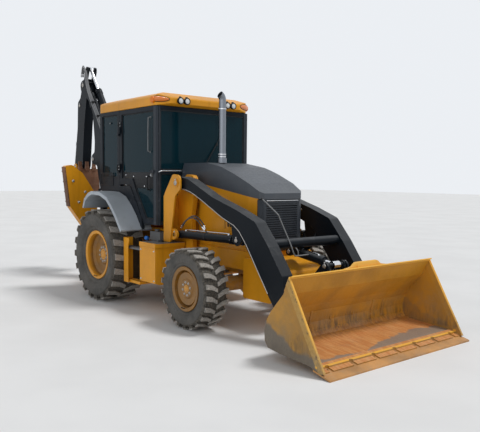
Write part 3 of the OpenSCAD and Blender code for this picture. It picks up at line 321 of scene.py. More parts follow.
def bucket_paint(name):
    """Loader bucket: scraped paint, a rusty floor with drag marks, dried mud, worn edges, sides darkened
    partly as painted shade, and painted highlights in bright yellow along some edges.
    """
    s = Shader(name)
    x, y, z = (s.axis(i) for i in range(3))
    fine, patch = s.noise(42, 5), s.noise(4.2, 8, 0.65, seed=1.7)
    c = s.mix(s.step(s.noise(2.1, 6), 0.35, 0.65), (0.44, 0.205, 0.016), (0.60, 0.28, 0.02))
    scrape = s.step(s.noise(13, 8, 0.7, stretch=(1.6, 1.6, 0.35), turn=(0.15, 0, 0.2), seed=2.3), 0.42, 0.6)
    top = s.add(s.times(s.noise(3.1, 5, seed=0.7), 0.5), 0.02)
    worn = s.times(scrape, s.step(s.less(z, top), -0.12, 0.1, 1.0, 0.0), s.height(0.1, 0.13, 0.0, 1.0), 0.8)
    c = s.mix(worn, c, (0.11, 0.07, 0.035))
    dusty = s.times(s.step(patch, 0.35, 0.65), s.height(0.2, 0.75), 0.45)
    c = s.mix(dusty, c, (0.30, 0.2, 0.09))
    drag = s.step(s.noise(16, 7, 0.6, stretch=(0.35, 2.6, 1), turn=(0, 0, 0.5), seed=4.0), 0.35, 0.7)
    floor = s.times(s.height(0.13, 0.2), s.upward(0.2, 0.5))
    rust = s.mix(drag, (0.50, 0.185, 0.05), (0.66, 0.34, 0.13))
    c = s.mix(s.times(floor, s.step(x, 2.9, 3.05, 0.5, 1.0)), c, rust)
    reach = s.add(x, s.times(s.less(s.noise(1.6, 5, 0.6, seed=6.2), 0.5), 0.6))
    reach = s.add(reach, s.step(y, -0.6, 1.1, -0.06, 0.1))
    sludge = s.times(s.step(reach, 3.32, 3.36), s.step(x, 3.46, 3.475, 1.0, 0.0), floor, 0.85)
    c = s.mix(sludge, c, (0.21, 0.19, 0.165))
    corner_x, corner_z, slope = 3.172, 0.834, 0.569  # the slanted front edge of the bucket's sides
    line = s.less(s.times(s.less(corner_z, z), slope), s.less(x, corner_x))
    side = s.step(s.math("ABSOLUTE", y), 1.06, 1.075)
    # The outer faces of the sides are darkened in patches: partly dirt, partly painted shade.
    c = s.mix(s.times(side, s.step(patch, 0.25, 0.7, 0.25, 0.75)), c, (0.27, 0.15, 0.035))
    edge_z = s.add(s.step(x, 2.7, 3.3, 0.42, 0.16), s.less(s.times(patch, 0.2), 0.1))
    low = s.step(s.less(z, edge_z), -0.02, 0.03, 1.0, 0.0)
    c = s.mix(s.times(side, low, 0.9), c, (0.125, 0.11, 0.09))
    strip = s.times(side, s.step(line, 0.078, 0.082, 1.0, 0.0))
    c = s.mix(s.times(strip, s.step(fine, 0.4, 0.6, 0.5, 0.9)), c, (0.50, 0.30, 0.075))
    chips = s.times(strip, s.step(s.noise(26, 6, 0.7, seed=8.4), 0.55, 0.62),
                    s.step(line, 0.02, 0.05, 1.0, 0.0), 0.8)
    c = s.mix(chips, c, (0.07, 0.05, 0.035))
    # Painted highlights: bright yellow bands along the sides' slanted front edges (weaker low down), along
    # the top lip and on a small bar near the bottom.
    rim = s.times(s.step(line, 0.008, 0.014, 1.0, 0.0), s.step(z, 0.12, 0.45, 0.25, 1.0))
    lip = s.times(s.step(z, 0.826, 0.832), s.step(patch, 0.2, 0.6, 1.0, 0.7))
    bar = s.times(s.step(x, 3.506, 3.51), s.step(x, 3.536, 3.54, 1.0, 0.0), s.step(z, 0.078, 0.082),
                  s.step(z, 0.1, 0.104, 1.0, 0.0))
    c = s.mix(s.math("MAXIMUM", rim, s.math("MAXIMUM", lip, bar)), c, (0.80, 0.42, 0.05))
    film = s.times(s.height(0.0, 0.9), s.step(patch, 0.4, 0.75), s.step(fine, 0.3, 0.7), 0.3)
    c = s.mix(film, c, TAN_DUST)
    bare = s.times(s.edge(0.007), s.step(s.noise(19, 6, seed=1.3), 0.5, 0.7), 0.8)
    c = s.mix(bare, c, (0.42, 0.33, 0.24))
    s.set(Base_Color=c, Roughness=s.add(s.step(fine, 0.3, 0.7, 0.35, 0.5), s.times(worn, 0.25), True),
          Coat_Weight=0.05)
    s.bump(s.add(s.times(scrape, -0.7), s.times(fine, 0.6)), 0.3, 0.0025, 0.004)
    return s.m


def rim_paint(name, hub, flange):
    """Rim: bright worn flange; the dish darkened towards the hub, partly dust and partly painted shade, with
    dried mud on its faces.
    """
    s = Shader(name)
    deep = s.step(s.math("ABSOLUTE", s.axis(1)), (hub + 25) / 1000, (flange - 12) / 1000, 1.0, 0.0)
    fine, patch = s.noise(40, 5), s.noise(6, 8, 0.65, seed=1.9)
    c = s.mix(s.step(s.noise(2, 5), 0.35, 0.65), (0.66, 0.28, 0.012), (0.78, 0.34, 0.016))
    # Darker towards the hub, in patches: painted shade in the dish's recess, with some dust.
    c = s.mix(s.times(deep, s.step(patch, 0.25, 0.65, 0.75, 1.0)), c, (0.18, 0.078, 0.009))
    c = s.mix(s.times(s.step(patch, 0.45, 0.7), s.step(fine, 0.35, 0.65), 0.25), c, TAN_DUST)
    face = s.step(s.math("ABSOLUTE", s.axis(1, s.normal)), 0.7, 0.9)
    c = s.mix(s.times(deep, face, 0.25), c, (0.34, 0.2, 0.07))
    c = s.mix(s.times(s.edge(0.006), s.step(s.noise(21, 6, seed=1.3), 0.45, 0.7), 0.7), c, (0.36, 0.25, 0.14))
    s.set(Base_Color=c, Roughness=s.step(fine, 0.3, 0.7, 0.35, 0.6))
    s.bump(s.add(fine, patch), 0.15, 0.002, 0.003)
    return s.m


SPRAYED = {"wear": 0.3, "bare": (0.40, 0.20, 0.05), "spec": 0.3, "dirt": (0.42, 0.27, 0.12)}
YELLOW = paint("yellow_paint", SIGNAL_YELLOW, rough=0.32, dust=0.24, stains=0.25, **SPRAYED)
# The heavy film on the dark paint's top faces is partly dust and partly painted light on the tops.
CHARCOAL = paint("charcoal_paint", (0.006, 0.009, 0.013), rough=0.34, dust=0.85, low=(-0.2, 0.7), wear=0.35,
                 bare=(0.26, 0.27, 0.28), vary=0.2, top=0.9, dirt=GREY_DUST_AND_TOP_LIGHT, spec=0.1)
CAB = paint("cab_paint", (0.009, 0.013, 0.019), rough=0.33, dust=0.5, low=(0.9, 2.0), wear=0.25,
            bare=(0.2, 0.21, 0.23), vary=0.2, top=0.8, dirt=GREY_DUST_AND_TOP_LIGHT, spec=0.1,
            zones=(((1040, 690, 900), (1110, 790, 2604), (0.04, 0.047, 0.057)),))
HOOD = paint("hood_plastic", (0.05, 0.06, 0.074), rough=0.42, dust=0.5, low=(1.0, 1.8), peel=0.2, top=0.6,
             dirt=(0.2, 0.2, 0.195))
FENDER = paint("fender_plastic", (0.38, 0.42, 0.46), rough=0.45, dust=0.45, low=(0.9, 1.5), peel=0.25,
               top=0.8, dirt=(0.36, 0.38, 0.39), stains=0.3)
BLACK = paint("black_plastic", (0.012, 0.013, 0.015), rough=0.5, dust=0.35, low=(0.4, 1.6), peel=0.25,
              vary=0.2, dirt=GREY_DUST_AND_TOP_LIGHT, spec=0.25)
GREY = paint("grey_paint", (0.15, 0.155, 0.16), rough=0.5, dust=0.6, low=(0.3, 1.2), dirt=(0.3, 0.28, 0.25))
DARK_YELLOW = paint("dusty_yellow", (0.62, 0.27, 0.02), rough=0.4, dust=0.85, low=(0.1, 1.5), wear=0.3,
                    bare=(0.28, 0.17, 0.08), stains=0.4)
BUCKET = bucket_paint("bucket_paint")
RUSTY = paint("rusty_steel", (0.17, 0.075, 0.038), rough=0.7, dust=0.6, low=(-1, 4), wear=0.4,
              bare=(0.35, 0.25, 0.2), peel=0.6, vary=0.4, dirt=(0.26, 0.19, 0.14))
EDGE_STEEL = paint("scoured_edge", (0.50, 0.235, 0.06), rough=0.5, dust=0.5, low=(-1, 4), wear=0.5,
                   bare=(0.5, 0.45, 0.4), peel=0.4, vary=0.3)
TYRES = {end: tyre_rubber(f"{end}_tyre_rubber", *WHEELS[end], rim, lug)
         for end, rim, lug in (("front", 256, 30), ("rear", 336, 36))}
TANK = paint("tank_paint", SIGNAL_YELLOW, rough=0.34, dust=0.3, stains=0.3,
             zones=(((880, 0, 894), (1400, 925, 1100), GUNMETAL),), **SPRAYED)
STEP = paint("step_paint", SIGNAL_YELLOW, rough=0.36, dust=0.35, wear=0.4, bare=(0.30, 0.2, 0.1), stains=0.4,
             spec=0.3, dirt=(0.40, 0.27, 0.14),
             # The first zone paints the inner part of the step near-black: painted shade where the step lies
             # open behind its narrow side plate.
             zones=(((664, 0, 360), (1009, 846, 1000), (0.035, 0.026, 0.018)),
                    ((668, 840, 776), (1006, 940, 812), GUNMETAL)))
HOUSING = paint("lamp_housing", (0.014, 0.014, 0.015), rough=0.4, dust=0.3, spec=0.3,
                zones=(((900, 700, 2600), (1200, 800, 2760), AMBER_TONE),))
GRILLE = paint("grille_plastic", (0.03, 0.037, 0.047), rough=0.45, dust=0.4, low=(0.6, 1.7), spec=0.3,
               dirt=GREY_DUST_AND_TOP_LIGHT)
RIMS = {"front": rim_paint("front_rim_paint", 999, 1080), "rear": rim_paint("rear_rim_paint", 932, 1040)}
HOSE = rubber("hose_rubber", (0.03, 0.031, 0.033), 0.45, 0.25, dirt=(0.2, 0.2, 0.2), rough=0.5)
SLEEVE = rubber("hose_sleeve", (0.15, 0.155, 0.165), 0.3, 0.3, dirt=(0.35, 0.35, 0.34), rough=0.5)
SEAL = rubber("seal_rubber", (0.012, 0.012, 0.013), 0.2, 0.1, dirt=(0.1, 0.1, 0.1), rough=0.7)
STEEL = metal("bright_steel", (0.66, 0.67, 0.69), 0.2)
CAST = metal("worn_steel", (0.42, 0.4, 0.38), 0.45, rust=0.35)
STACK = metal("stack_steel", (0.2, 0.22, 0.25), 0.3, stretch=(1, 1, 0.1))
CHROME = metal("chrome", (0.82, 0.83, 0.85), 0.09, stretch=(1, 1, 0.1))
GLASS = glazing("window_glass", (0.003, 0.022, 0.032), 0.93)
INTERIOR = plain("interior_trim", (0.03, 0.031, 0.035), 0.7, scale=90)
FABRIC = cloth("seat_cloth", (0.075, 0.078, 0.085))
BRASS = metal("brass", (0.7, 0.5, 0.22), 0.3)
LENS = lens("clear_lens", (0.78, 0.8, 0.8))
AMBER = lens("amber_lens", AMBER_TONE)
RED = lens("red_lens", (0.5, 0.012, 0.01))
BLUE = plain("blue_plastic", (0.02, 0.16, 0.55), 0.4)
GREEN = plain("green_plastic", (0.01, 0.22, 0.11), 0.4)
SLOTS = {"yellow_paint": YELLOW, "dark_paint": CHARCOAL, "bright_steel": STEEL, "grey_paint": GREY,
         "window_glass": GLASS, "chrome": CHROME, "interior": INTERIOR, "tyre_rubber": HOSE}
SPECIAL = {node: m for m, found in (
    (HOOD, "hood"), (FENDER, "rear_fenders"), (GRILLE, "grille"), (TANK, "side_tanks"), (STEP, "steps"),
    (HOUSING, "cab_lamps"), (CAB, "cab_frame door_left door_right"), (BUCKET, "loader_bucket"),
    (EDGE_STEEL, "cutting_edge"), (RUSTY, "hoe_bucket"), (STACK, "exhaust_stack"),
    (CHARCOAL, "lift_barrels tilt_barrel boom_barrel crowd_barrel hoe_barrel tilt_guide tilt_link"),
    (DARK_YELLOW, "front_axle rear_axle"), (TYRES["front"], "front_tyre_left front_tyre_right"),
    (TYRES["rear"], "rear_tyre_left rear_tyre_right"), (RIMS["front"], "front_rim_left front_rim_right"),
    (RIMS["rear"], "rear_rim_left rear_rim_right")) for node in found.split()}
for row in frame["record"]["subparts"]:
    me = nodes[row["node"]].data
    me.materials.clear()
    me.materials.append(SPECIAL.get(row["node"]) or SLOTS[row["material_slot"]])


# ------------------------ building pieces
STUD = [(0, 6), (5, 5), (9, 2), (10, 0)]  # the lathe profile of a low domed screw cap
BODY_OF = {n: b for b, found in frame["record"]["behaviour"]["bodies"].items() for n in found}
TREES = {}


def hit(p, d, *names):
    """Distance from p, in millimetres, to the first named node along d, and that node's name."""
    best = (None, None)
    for n in names or nodes:
        if n not in TREES:
            me = nodes[n].data
            TREES[n] = BVHTree.FromPolygons([v.co for v in me.vertices], [f.vertices for f in me.polygons])
        far = TREES[n].ray_cast(P(*p), Vector(d))[3]
        if far is not None and (best[0] is None or far * 1000 < best[0]):
            best = (far * 1000, n)
    return best


def outer_y(x, z, s, start=2000, names=()):
    """Where the outside is, seen from side s at x and z."""
    far, n = hit((x, s * start, z), (0, -s, 0), *names)
    return (s * (start - far), n) if far is not None else (None, None)


def spline(points, steps=6):
    """A Catmull-Rom curve through the points."""
    p = [Vector(q) for q in points]
    p = [2 * p[0] - p[1]] + p + [2 * p[-1] - p[-2]]
    out = []
    for a, b, c, d in zip(p, p[1:], p[2:], p[3:]):
        for i in range(steps):
            t = i / steps
            cubic = 3 * b - a - 3 * c + d
            out.append(0.5 * (2 * b + (c - a) * t + (2 * a - 5 * b + 4 * c - d) * t * t + cubic * t ** 3))
    return out + [p[-2]]


def square_to(axis):
    axis = Vector(axis).normalized()
    u = axis.cross(Vector((0, 0, 1)) if abs(axis.z) < 0.9 else Vector((1, 0, 0))).normalized()
    return axis, u, axis.cross(u)


def circle(c, u, w, r, n):
    """n points round c, in the plane of u and w."""
    return [c + (u * cos(tau * i / n) + w * sin(tau * i / n)) * r for i in range(n)]


class Piece:
    """One piece of the scene: closed solids, given in millimetres as in the part's source."""

    def __init__(self, name, material, body="chassis"):
        self.name, self.material, self.body = name, material, body
        self.v, self.f, self.slots, self.m = [], [], [], []

    def add(self, bm, material=None):
        material = material or self.material
        if material not in self.slots:
            self.slots.append(material)
        bmesh.ops.recalc_face_normals(bm, faces=bm.faces)
        bm.verts.index_update()
        n = len(self.v)
        self.v += [P(*v.co) for v in bm.verts]
        self.f += [[n + v.index for v in f.verts] for f in bm.faces]
        self.m += [self.slots.index(material)] * len(bm.faces)
        bm.free()
        return self

    def loft(self, rings, material=None, closed=False):
        bm = bmesh.new()
        rows = [[bm.verts.new(q) for q in ring] for ring in rings]
        pairs = list(zip(rows, rows[1:])) + ([(rows[-1], rows[0])] if closed else [])
        for a, b in pairs:
            n = max(len(a), len(b))
            for i in range(n):
                j = (i + 1) % n
                corners = [a[i % len(a)], a[j % len(a)], b[j % len(b)], b[i % len(b)]]
                bm.faces.new(list(dict.fromkeys(corners)))
        if not closed:
            for row in (rows[0], rows[-1]):
                if len(row) > 2:
                    bm.faces.new(row)
        return self.add(bm, material)

    def prism(self, outline, a, b, axis="y", bevel=0.0, material=None, segments=2):
        put = {"x": lambda u, v, w: (w, u, v), "y": lambda u, v, w: (u, w, v),
               "z": lambda u, v, w: (u, v, w)}[axis]
        bm = bmesh.new()
        low = [bm.verts.new(put(u, v, a)) for u, v in outline]
        high = [bm.verts.new(put(u, v, b)) for u, v in outline]
        bm.faces.new(low)
        bm.faces.new(high[::-1])
        for i in range(len(low)):
            j = (i + 1) % len(low)
            bm.faces.new((low[i], low[j], high[j], high[i]))
        if bevel:
            bmesh.ops.recalc_face_normals(bm, faces=bm.faces)
            sharp = [e for e in bm.edges if e.calc_face_angle(0) > 0.5]
            bmesh.ops.bevel(bm, geom=sharp, offset=bevel, segments=segments, profile=0.5, affect="EDGES",
                            clamp_overlap=True)
        return self.add(bm, material)

    def block(self, x, y, z, bevel=2.0, material=None, segments=2):
        return self.prism([(x[0], z[0]), (x[1], z[0]), (x[1], z[1]), (x[0], z[1])], y[0], y[1], "y", bevel,
                          material, segments)

    def lathe(self, profile, at, axis, n=24, material=None, closed=False):
        """Turns (radius, height) points about axis, with flat ends. A closed profile makes a ring."""
        if not closed and profile[0][0]:
            profile = [(0, profile[0][1]), *profile]
        if not closed and profile[-1][0]:
            profile = [*profile, (0, profile[-1][1])]
        axis, u, w = square_to(axis)
        at = Vector(at)
        rings = []
        for r, h in profile:
            c = at + axis * h
            rings.append([c] if r == 0 else circle(c, u, w, r, n))
        return self.loft(rings, material, closed)

    def tube(self, points, r, n=10, steps=6, material=None):
        path, rings, u = spline(points, steps), [], None
        for i, c in enumerate(path):
            t = (path[min(i + 1, len(path) - 1)] - path[max(i - 1, 0)]).normalized()
            u = square_to(t)[1] if u is None else (u - t * u.dot(t)).normalized()
            w = t.cross(u)
            rings.append(circle(c, u, w, r, n))
        return self.loft(rings, material)

    def bolt(self, at, axis, d=18.0, washer=True, material=None):
        a = Vector(axis).normalized()
        at = Vector(at)
        if washer:
            self.lathe([(d * 0.75, 0), (d * 0.75, 1.6), (d * 0.66, 2.4)], at, a, 16, material)
            at = at + a * 2.4
        return self.lathe([(d * 0.55, 0), (d * 0.55, d * 0.3), (d * 0.42, d * 0.4)], at, a, 6, material)

    def hose(self, points, r):
        """A hydraulic hose with a crimped sleeve and hexagon nut at each end."""
        self.tube(points, r, 10, 7)
        sleeve = [(r, -3), (r * 1.35, 4), (r * 1.35, 34), (r * 1.12, 40)]
        for a, b in ((points[0], points[1]), (points[-1], points[-2])):
            a, t = Vector(a), (Vector(b) - Vector(a)).normalized()
            self.lathe(sleeve, a, t, 14, STEEL)
            self.lathe([(r * 1.5, -14), (r * 1.5, -3)], a, t, 6, STEEL)
        return self

    def done(self, ride=True):
        me = bpy.data.meshes.new(self.name)
        me.from_pydata(self.v, [], self.f)
        for m in self.slots:
            me.materials.append(m)
        me.polygons.foreach_set("material_index", self.m)
        me.polygons.foreach_set("use_smooth", [True] * len(self.f))
        me.set_sharp_from_angle(angle=radians(38))
        me.validate()
        o = placed(self.name, me)
        if ride:
            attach(o, self.body)
        return o


# ------------------------ wheels
for side, s in SIDES:
    for end, count, pitch, d, cap, r in (("front", 8, 74, 20, 46, 222), ("rear", 10, 100, 24, 74, 300)):
        x, z = WHEELS[end]
        w = Piece(f"{end}_wheel_bolts_{side}", CAST, f"{end}_wheel_{side}")
        for i in range(count):
            a = tau * (i + 0.3) / count
            u, v = x + pitch * cos(a), z + pitch * sin(a)
            w.bolt((u, outer_y(u, v, s)[0], v), (0, s, 0), d)
        face = outer_y(x + pitch, z, s)[0]
        w.lathe([(cap * 0.55, 16), (cap * 0.7, 12), (cap * 0.78, 4), (cap, 3), (cap, 0)], (x, face, z),
                (0, s, 0), 32, DARK_YELLOW)
        # the valve, at radius r
        base = outer_y(x, z - r, s)[0]
        w.tube([(x, base - s * 4, z - r), (x, base + s * 22, z - r + 4), (x, base + s * 40, z - r + 14)],
               5, 8, 4, BLACK)
        w.lathe([(7, 0), (7, 12), (5, 15)], (x, base + s * 38, z - r + 13), (0, s, 0.45), 10, BLACK)
        w.done()


# ------------------------ windows and doors
def seals(name, body, node):
    """Rubber strips, 15 mm wide and 4 mm proud, round the outer face of each pane."""
    bm = bmesh.new()
    bm.from_mesh(nodes[node].data)
    bmesh.ops.remove_doubles(bm, verts=bm.verts, dist=1e-6)
    bmesh.ops.dissolve_limit(bm, angle_limit=0.02, verts=bm.verts, edges=bm.edges)
    cab_middle = P(340, 0, 1850)
    keep = [f for f in bm.faces if f.calc_area() > 0.04
            and (f.calc_center_median() - cab_middle).dot(f.normal) > 0
            and max(abs(c) for c in f.normal) > 0.9 and abs(f.normal.z) < 0.4]
    bmesh.ops.delete(bm, geom=[f for f in bm.faces if f not in keep], context="FACES")
    ring = set(bmesh.ops.inset_region(bm, faces=bm.faces[:], thickness=0.015, use_even_offset=True,
                                      use_boundary=True)["faces"])
    bmesh.ops.delete(bm, geom=[f for f in bm.faces if f not in ring], context="FACES")
    bmesh.ops.solidify(bm, geom=bm.faces[:], thickness=-0.004)
    me = bpy.data.meshes.new(name)
    bm.to_mesh(me)
    bm.free()
    me.materials.append(SEAL)
    o = placed(name, me)
    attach(o, body)


seals("window_seals", "chassis", "cab_glass")
for side, s in SIDES:
    door = f"door_{side}"
    seals(f"door_seal_{side}", door, f"door_glass_{side}")
    y = s * DOOR_FACE
    band = Piece(f"door_band_{side}", BLACK, door)
    band.prism([(240, 1560), (1018, 1560), (1018, 1772), (240, 1772)], y, y + s * 4, "y", 1.5)
    for u, v in ((790, 1589), (841, 1715), (507, 1715), (300, 1735), (300, 1600)):
        band.lathe(STUD, (u, y + s * 4, v), (0, s, 0), 12, STEEL)
    band.done()
    handle = Piece(f"door_handle_{side}", BLACK, door)
    handle.tube([(921, y, 1548), (921, y + s * 34, 1552), (921, y + s * 44, 1590), (921, y + s * 44, 1680),
                 (921, y + s * 34, 1716), (921, y, 1720)], 9, 12, 5)
    for v in (1548, 1720):
        handle.lathe([(14, 9), (20, 5), (20, 0)], (921, y, v), (0, s, 0), 18)
    handle.block((968, 1004), (y, y + s * 22), (1712, 1758), 5, GREY)
    handle.lathe([(8, 8), (9, 0)], (986, y + s * 22, 1735), (0, s, 0), 14, STEEL)
    handle.done()
    bar = Piece(f"door_grab_bar_{side}", GREY, door)
    bar.tube([(952, y, 2470), (950, y + s * 30, 2462), (948, y + s * 38, 2420), (940, y + s * 38, 2090),
              (938, y + s * 30, 2040), (937, y, 2030)], 8, 10, 5)
    for u, v in ((952, 2470), (937, 2030)):
        bar.lathe([(12, 6), (15, 3), (15, 0)], (u, y, v), (0, s, 0), 14)
    bar.done()
    hinges = Piece(f"door_hinges_{side}", BLACK, door)
    for v in (1330, 1830, 2420):
        y0 = outer_y(172, v, s, names=(door,))[0] or s * CAB_SIDE
        hinges.block((146, 198), (y0, y0 + s * 7), (v - 34, v + 34), 2.5)
        hinges.lathe([(10, -42), (11, -38), (11, 38), (10, 42)], (144, y0 + s * 8, v), (0, 0, 1), 16)
        for dz in (-20, 20):
            hinges.bolt((180, y0 + s * 7, v + dz), (0, s, 0), 11, False, STEEL)
    hinges.done()
    trim = Piece(f"side_trim_{side}", BLACK)
    y0 = outer_y(-220, 1650, s, names=("cab_frame",))[0] or s * CAB_SIDE
    for a, b, c, d in ((-398, -30, 1752, 1764), (-398, -30, 1586, 1598), (-398, -386, 1598, 1752),
                       (-42, -30, 1598, 1752)):
        trim.block((a, b), (y0, y0 + s * 7), (c, d), 1.5)
    for k in range(8):
        trim.block((-380, -48), (y0, y0 + s * 4), (1608 + 18 * k, 1617 + 18 * k), 1.5)
    for u, v in ((-188, 1790), (-340, 1790), (60, 1794), (60, 1724), (-406, 1500)):
        y1 = outer_y(u, v, s, names=("cab_frame",))[0]
        if y1:
            trim.lathe(STUD, (u, y1, v), (0, s, 0), 12, STEEL)
    trim.lathe([(10, 16), (15, 12), (16, 0)], (-118, s * 732, 2456), (0, s, 0), 16)
    trim.lathe([(0, 3), (6, 2), (6, 0)], (-118, s * 748, 2456), (0, s, 0), 12, STEEL)
    trim.done()
    # amber corner marker, an almond round the roof's chamfer
    for name, material, half, proud, path in (
            ("marker_rim", BLACK, 40, 5, ((980, 751), (1080, 751), (1150, 564))),
            ("marker_lens", AMBER, 34, 18, ((990, 751), (1080, 751), (1146, 574)))):
        a, b, c = (Vector((x, s * y)) for x, y in path)
        first, total = (b - a).length, (b - a).length + (c - b).length
        away = Vector((abs((c - b).y), s * (c - b).x)).normalized()
        rings = []
        for i in range(1, 28):
            far = total * i / 28
            at = a + (b - a).normalized() * far if far < first else b + (c - b).normalized() * (far - first)
            out = Vector((0, s)).lerp(away, min(1, max(0, (i / 28 - 0.25) / 0.22)))
            swell = max(0.04, sin(pi * i / 28)) ** 0.6
            ring = []
            for j in range(9):
                v = -1 + j / 4
                q = at + out * (proud * (1 - v * v) ** 0.5 * swell)
                ring.append((q.x, q.y, MARKER_Z + v * half * swell))
            for j in range(9):
                v = 1 - j / 4
                q = at - out * (3 + 3 * (1 - v * v))
                ring.append((q.x, q.y, MARKER_Z + v * (half * swell - 0.5)))
            rings.append(ring)
        Piece(f"{name}_{side}", material).loft(rings).done()

lamps = Piece("work_lamps", BLACK)
for y in (-430, -330, 330, 430):
    lamps.lathe([(35, -26), (44, -22), (45, 2), (42, 7), (36, 7), (34, 0)], (1186, y, 2680), (1, 0, 0), 28,
                closed=True)
    lamps.lathe([(0, 9), (14, 8), (26, 5), (35, 0)], (1186, y, 2680), (1, 0, 0), 28, LENS)
    lamps.block((1150, 1176), (y - 12, y + 12), (2716, 2736), 3)
for y in (-500, 500):
    lamps.lathe([(44, -26), (54, -22), (55, 2), (52, 7), (46, 7), (44, 0)], (-500, y, 2676), (-1, 0, 0), 28,
                closed=True)
    lamps.lathe([(0, 9), (18, 8), (34, 5), (45, 0)], (-500, y, 2676), (-1, 0, 0), 28, LENS)
for side, s in SIDES:
    lamps.block((-446, -421), (s * 640, s * 720), (1190, 1400), 6)
    for glass, z in ((RED, (1300, 1392)), (AMBER, (1244, 1292)), (LENS, (1198, 1236))):
        lamps.block((-458, -446), (s * 648, s * 712), z, 5, glass)
lamps.done()

front = Piece("windscreen_fittings", BLACK)
front.lathe([(14, 30), (18, 20), (20, 0)], (1100, -55, 1782), (1, 0, 0), 18)
front.tube([(1122, -55, 1782), (1122, 0, 1862), (1116, 120, 2042), (1108, 208, 2164)], 5, 8, 5)
front.block((1104, 1112), (196, 220), (2140, 2176), 2)
front.tube([(1097, 70, 1960), (1099, 208, 2164), (1097, 340, 2360)], 5, 8, 5)
front.prism([(66, 1958), (74, 1953), (344, 2358), (336, 2363)], 1089, 1096, "x", 0.5, SEAL)
for s in (-1, 1):
    front.tube([(1100, s * 713, 1776), (1124, s * 700, 1784), (1126, s * 660, 1788), (1126, s * 420, 1790),
                (1124, s * 378, 1788), (1100, s * 364, 1780)], 8, 10, 5, STEEL)
front.done()

# ------------------------ seat and controls
seat_base = Piece("seat_base", INTERIOR)
seat_base.block((120, 460), (-150, 150), (1162, 1500), 10)
for k in range(6):
    seat_base.block((112, 468), (-158, 158), (1250 + 40 * k, 1272 + 40 * k), 8)
seat_base.block((64, 512), (-226, 226), (1500, 1530), 12)
seat_base.prism([(-14, 1570), (8, 1570), (8, 2150), (-14, 2150)], -206, 206, "y", 8)
for s in (1, -1):
    seat_base.block((64, 456), (s * 244, s * 316), (1640, 1712), 22, segments=4)
    seat_base.block((120, 200), (s * 256, s * 304), (1560, 1650), 8)
    seat_base.lathe([(30, 0), (34, 8), (22, 26), (9, 40), (8, 120), (17, 140), (20, 172), (12, 190),
                     (0, 192)], (400, s * 280, 1712), (0.15, 0, 1), 18, BLACK)
seat_base.block((882, 1058), (-148, 148), (1162, 1690), 16)
seat_base.prism([(870, 1690), (1056, 1690), (1056, 1740), (960, 1800), (900, 1760)], -180, 180, "y", 10)
seat_base.lathe([(34, 0), (36, 20), (26, 120), (26, 240)], (930, 0, 1690), (-130, 0, 200), 20)
for y in (-90, -30, 30, 90):
    seat_base.lathe([(20, 3), (24, 1), (24, 0)], (928, y, 1780), (-0.5, 0, 0.86), 20, STEEL)
for y in (-60, 60):
    seat_base.block((-400, -300), (y - 26, y + 26), (1162, 1640), 10)
    seat_base.tube([(-350, y, 1640), (-345, y * 1.1, 1740), (-330, y * 1.2, 1830)], 8, 8, 4, BLACK)
    seat_base.lathe([(12, 0), (20, 16), (20, 34), (12, 48), (0, 50)], (-330, y * 1.2, 1825), (0, 0, 1), 16,
                    BLACK)
inside = seat_base.done()
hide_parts("cab_interior")

wheel = Piece("steering_wheel", BLACK)
axis, u, w = square_to((-sin(radians(33)), 0, cos(radians(33))))
centre = Vector((795, 0, 1895))
rings = []
for i in range(40):
    a = tau * i / 40
    out = u * cos(a) + w * sin(a)
    rings.append([centre + out * (190 + 14 * cos(tau * j / 10)) + axis * 14 * sin(tau * j / 10)
                  for j in range(10)])
wheel.loft(rings, closed=True)
for k in range(3):
    a = tau * k / 3 + pi / 2
    out = u * cos(a) + w * sin(a)
    wheel.tube([centre + out * 20 - axis * 14, centre + out * 100 - axis * 8, centre + out * 184], 9, 8, 4)
wheel.lathe([(30, 12), (42, 4), (44, -20)], centre - axis * 6, axis, 24)
wheel.lathe([(0, 30), (12, 28), (16, 16), (10, 0)], centre + (u * 0.2 + w).normalized() * 176 + axis * 10,
            axis, 14)
wheel.done()


def cushion(name, low, high, thin, channels):
    """A crowned pad with pulled-in sides, sewn channels and a piped seam."""
    low, high = Vector(low), Vector(high)
    half, middle = (high - low) / 2, (high + low) / 2
    bm = bmesh.new()
    bmesh.ops.create_cube(bm, size=2)
    bmesh.ops.subdivide_edges(bm, edges=bm.edges[:], cuts=23, use_grid_fill=True)
    flat = [i for i in range(3) if i != thin]
    for v in bm.verts:
        p = Vector(v.co)
        size = (abs(p.x) ** 7 + abs(p.y) ** 7 + abs(p.z) ** 7) ** (1 / 7)
        q = p / size
        a, b = q[flat[0]], q[flat[1]]
        crown = 0.82 + 0.18 * (1 - a * a) * (1 - b * b)
        for k in flat:
            other = b if k == flat[0] else a
            q[k] *= 1 - 0.05 * (1 - other * other) ** 2 * abs(q[k]) ** 3
        dip = 0
        for kind, at in channels:
            dip += math.exp(-(((a if kind == 0 else b) - at) / 0.035) ** 2)
        q[thin] *= crown * (1 - 0.16 * dip)
        v.co = middle + Vector((q.x * half.x, q.y * half.y, q.z * half.z))
    piece = Piece(name, FABRIC).add(bm)
    ring = []
    for i in range(48):
        t = tau * i / 48
        c, d = cos(t), sin(t)
        size = (abs(c) ** 7 + abs(d) ** 7) ** (1 / 7)
        q = [0, 0, 0]
        q[flat[0]], q[flat[1]] = c / size * 0.985, d / size * 0.985
        q[flat[0]] *= 1 - 0.05 * (1 - (d / size) ** 2) ** 2
        q[flat[1]] *= 1 - 0.05 * (1 - (c / size) ** 2) ** 2
        at = middle + Vector((q[0] * half.x, q[1] * half.y, q[2] * half.z))
        outward = Vector([q[k] if k in flat else 0 for k in range(3)]).normalized()
        across = Vector([1 if k == thin else 0 for k in range(3)])
        ring.append(circle(at, outward, across, 4, 8))
    piece.loft(ring, INTERIOR, closed=True)
    piece.done()


cushion("seat_cushion", (66, -232, 1532), (520, 232, 1640), 2,
        ((0, -0.5), (0, 0.0), (1, -0.62), (1, 0.62)))
cushion("seat_back", (10, -222, 1610), (100, 222, 2180), 0, ((1, -0.45), (1, 0.0), (1, 0.45)))

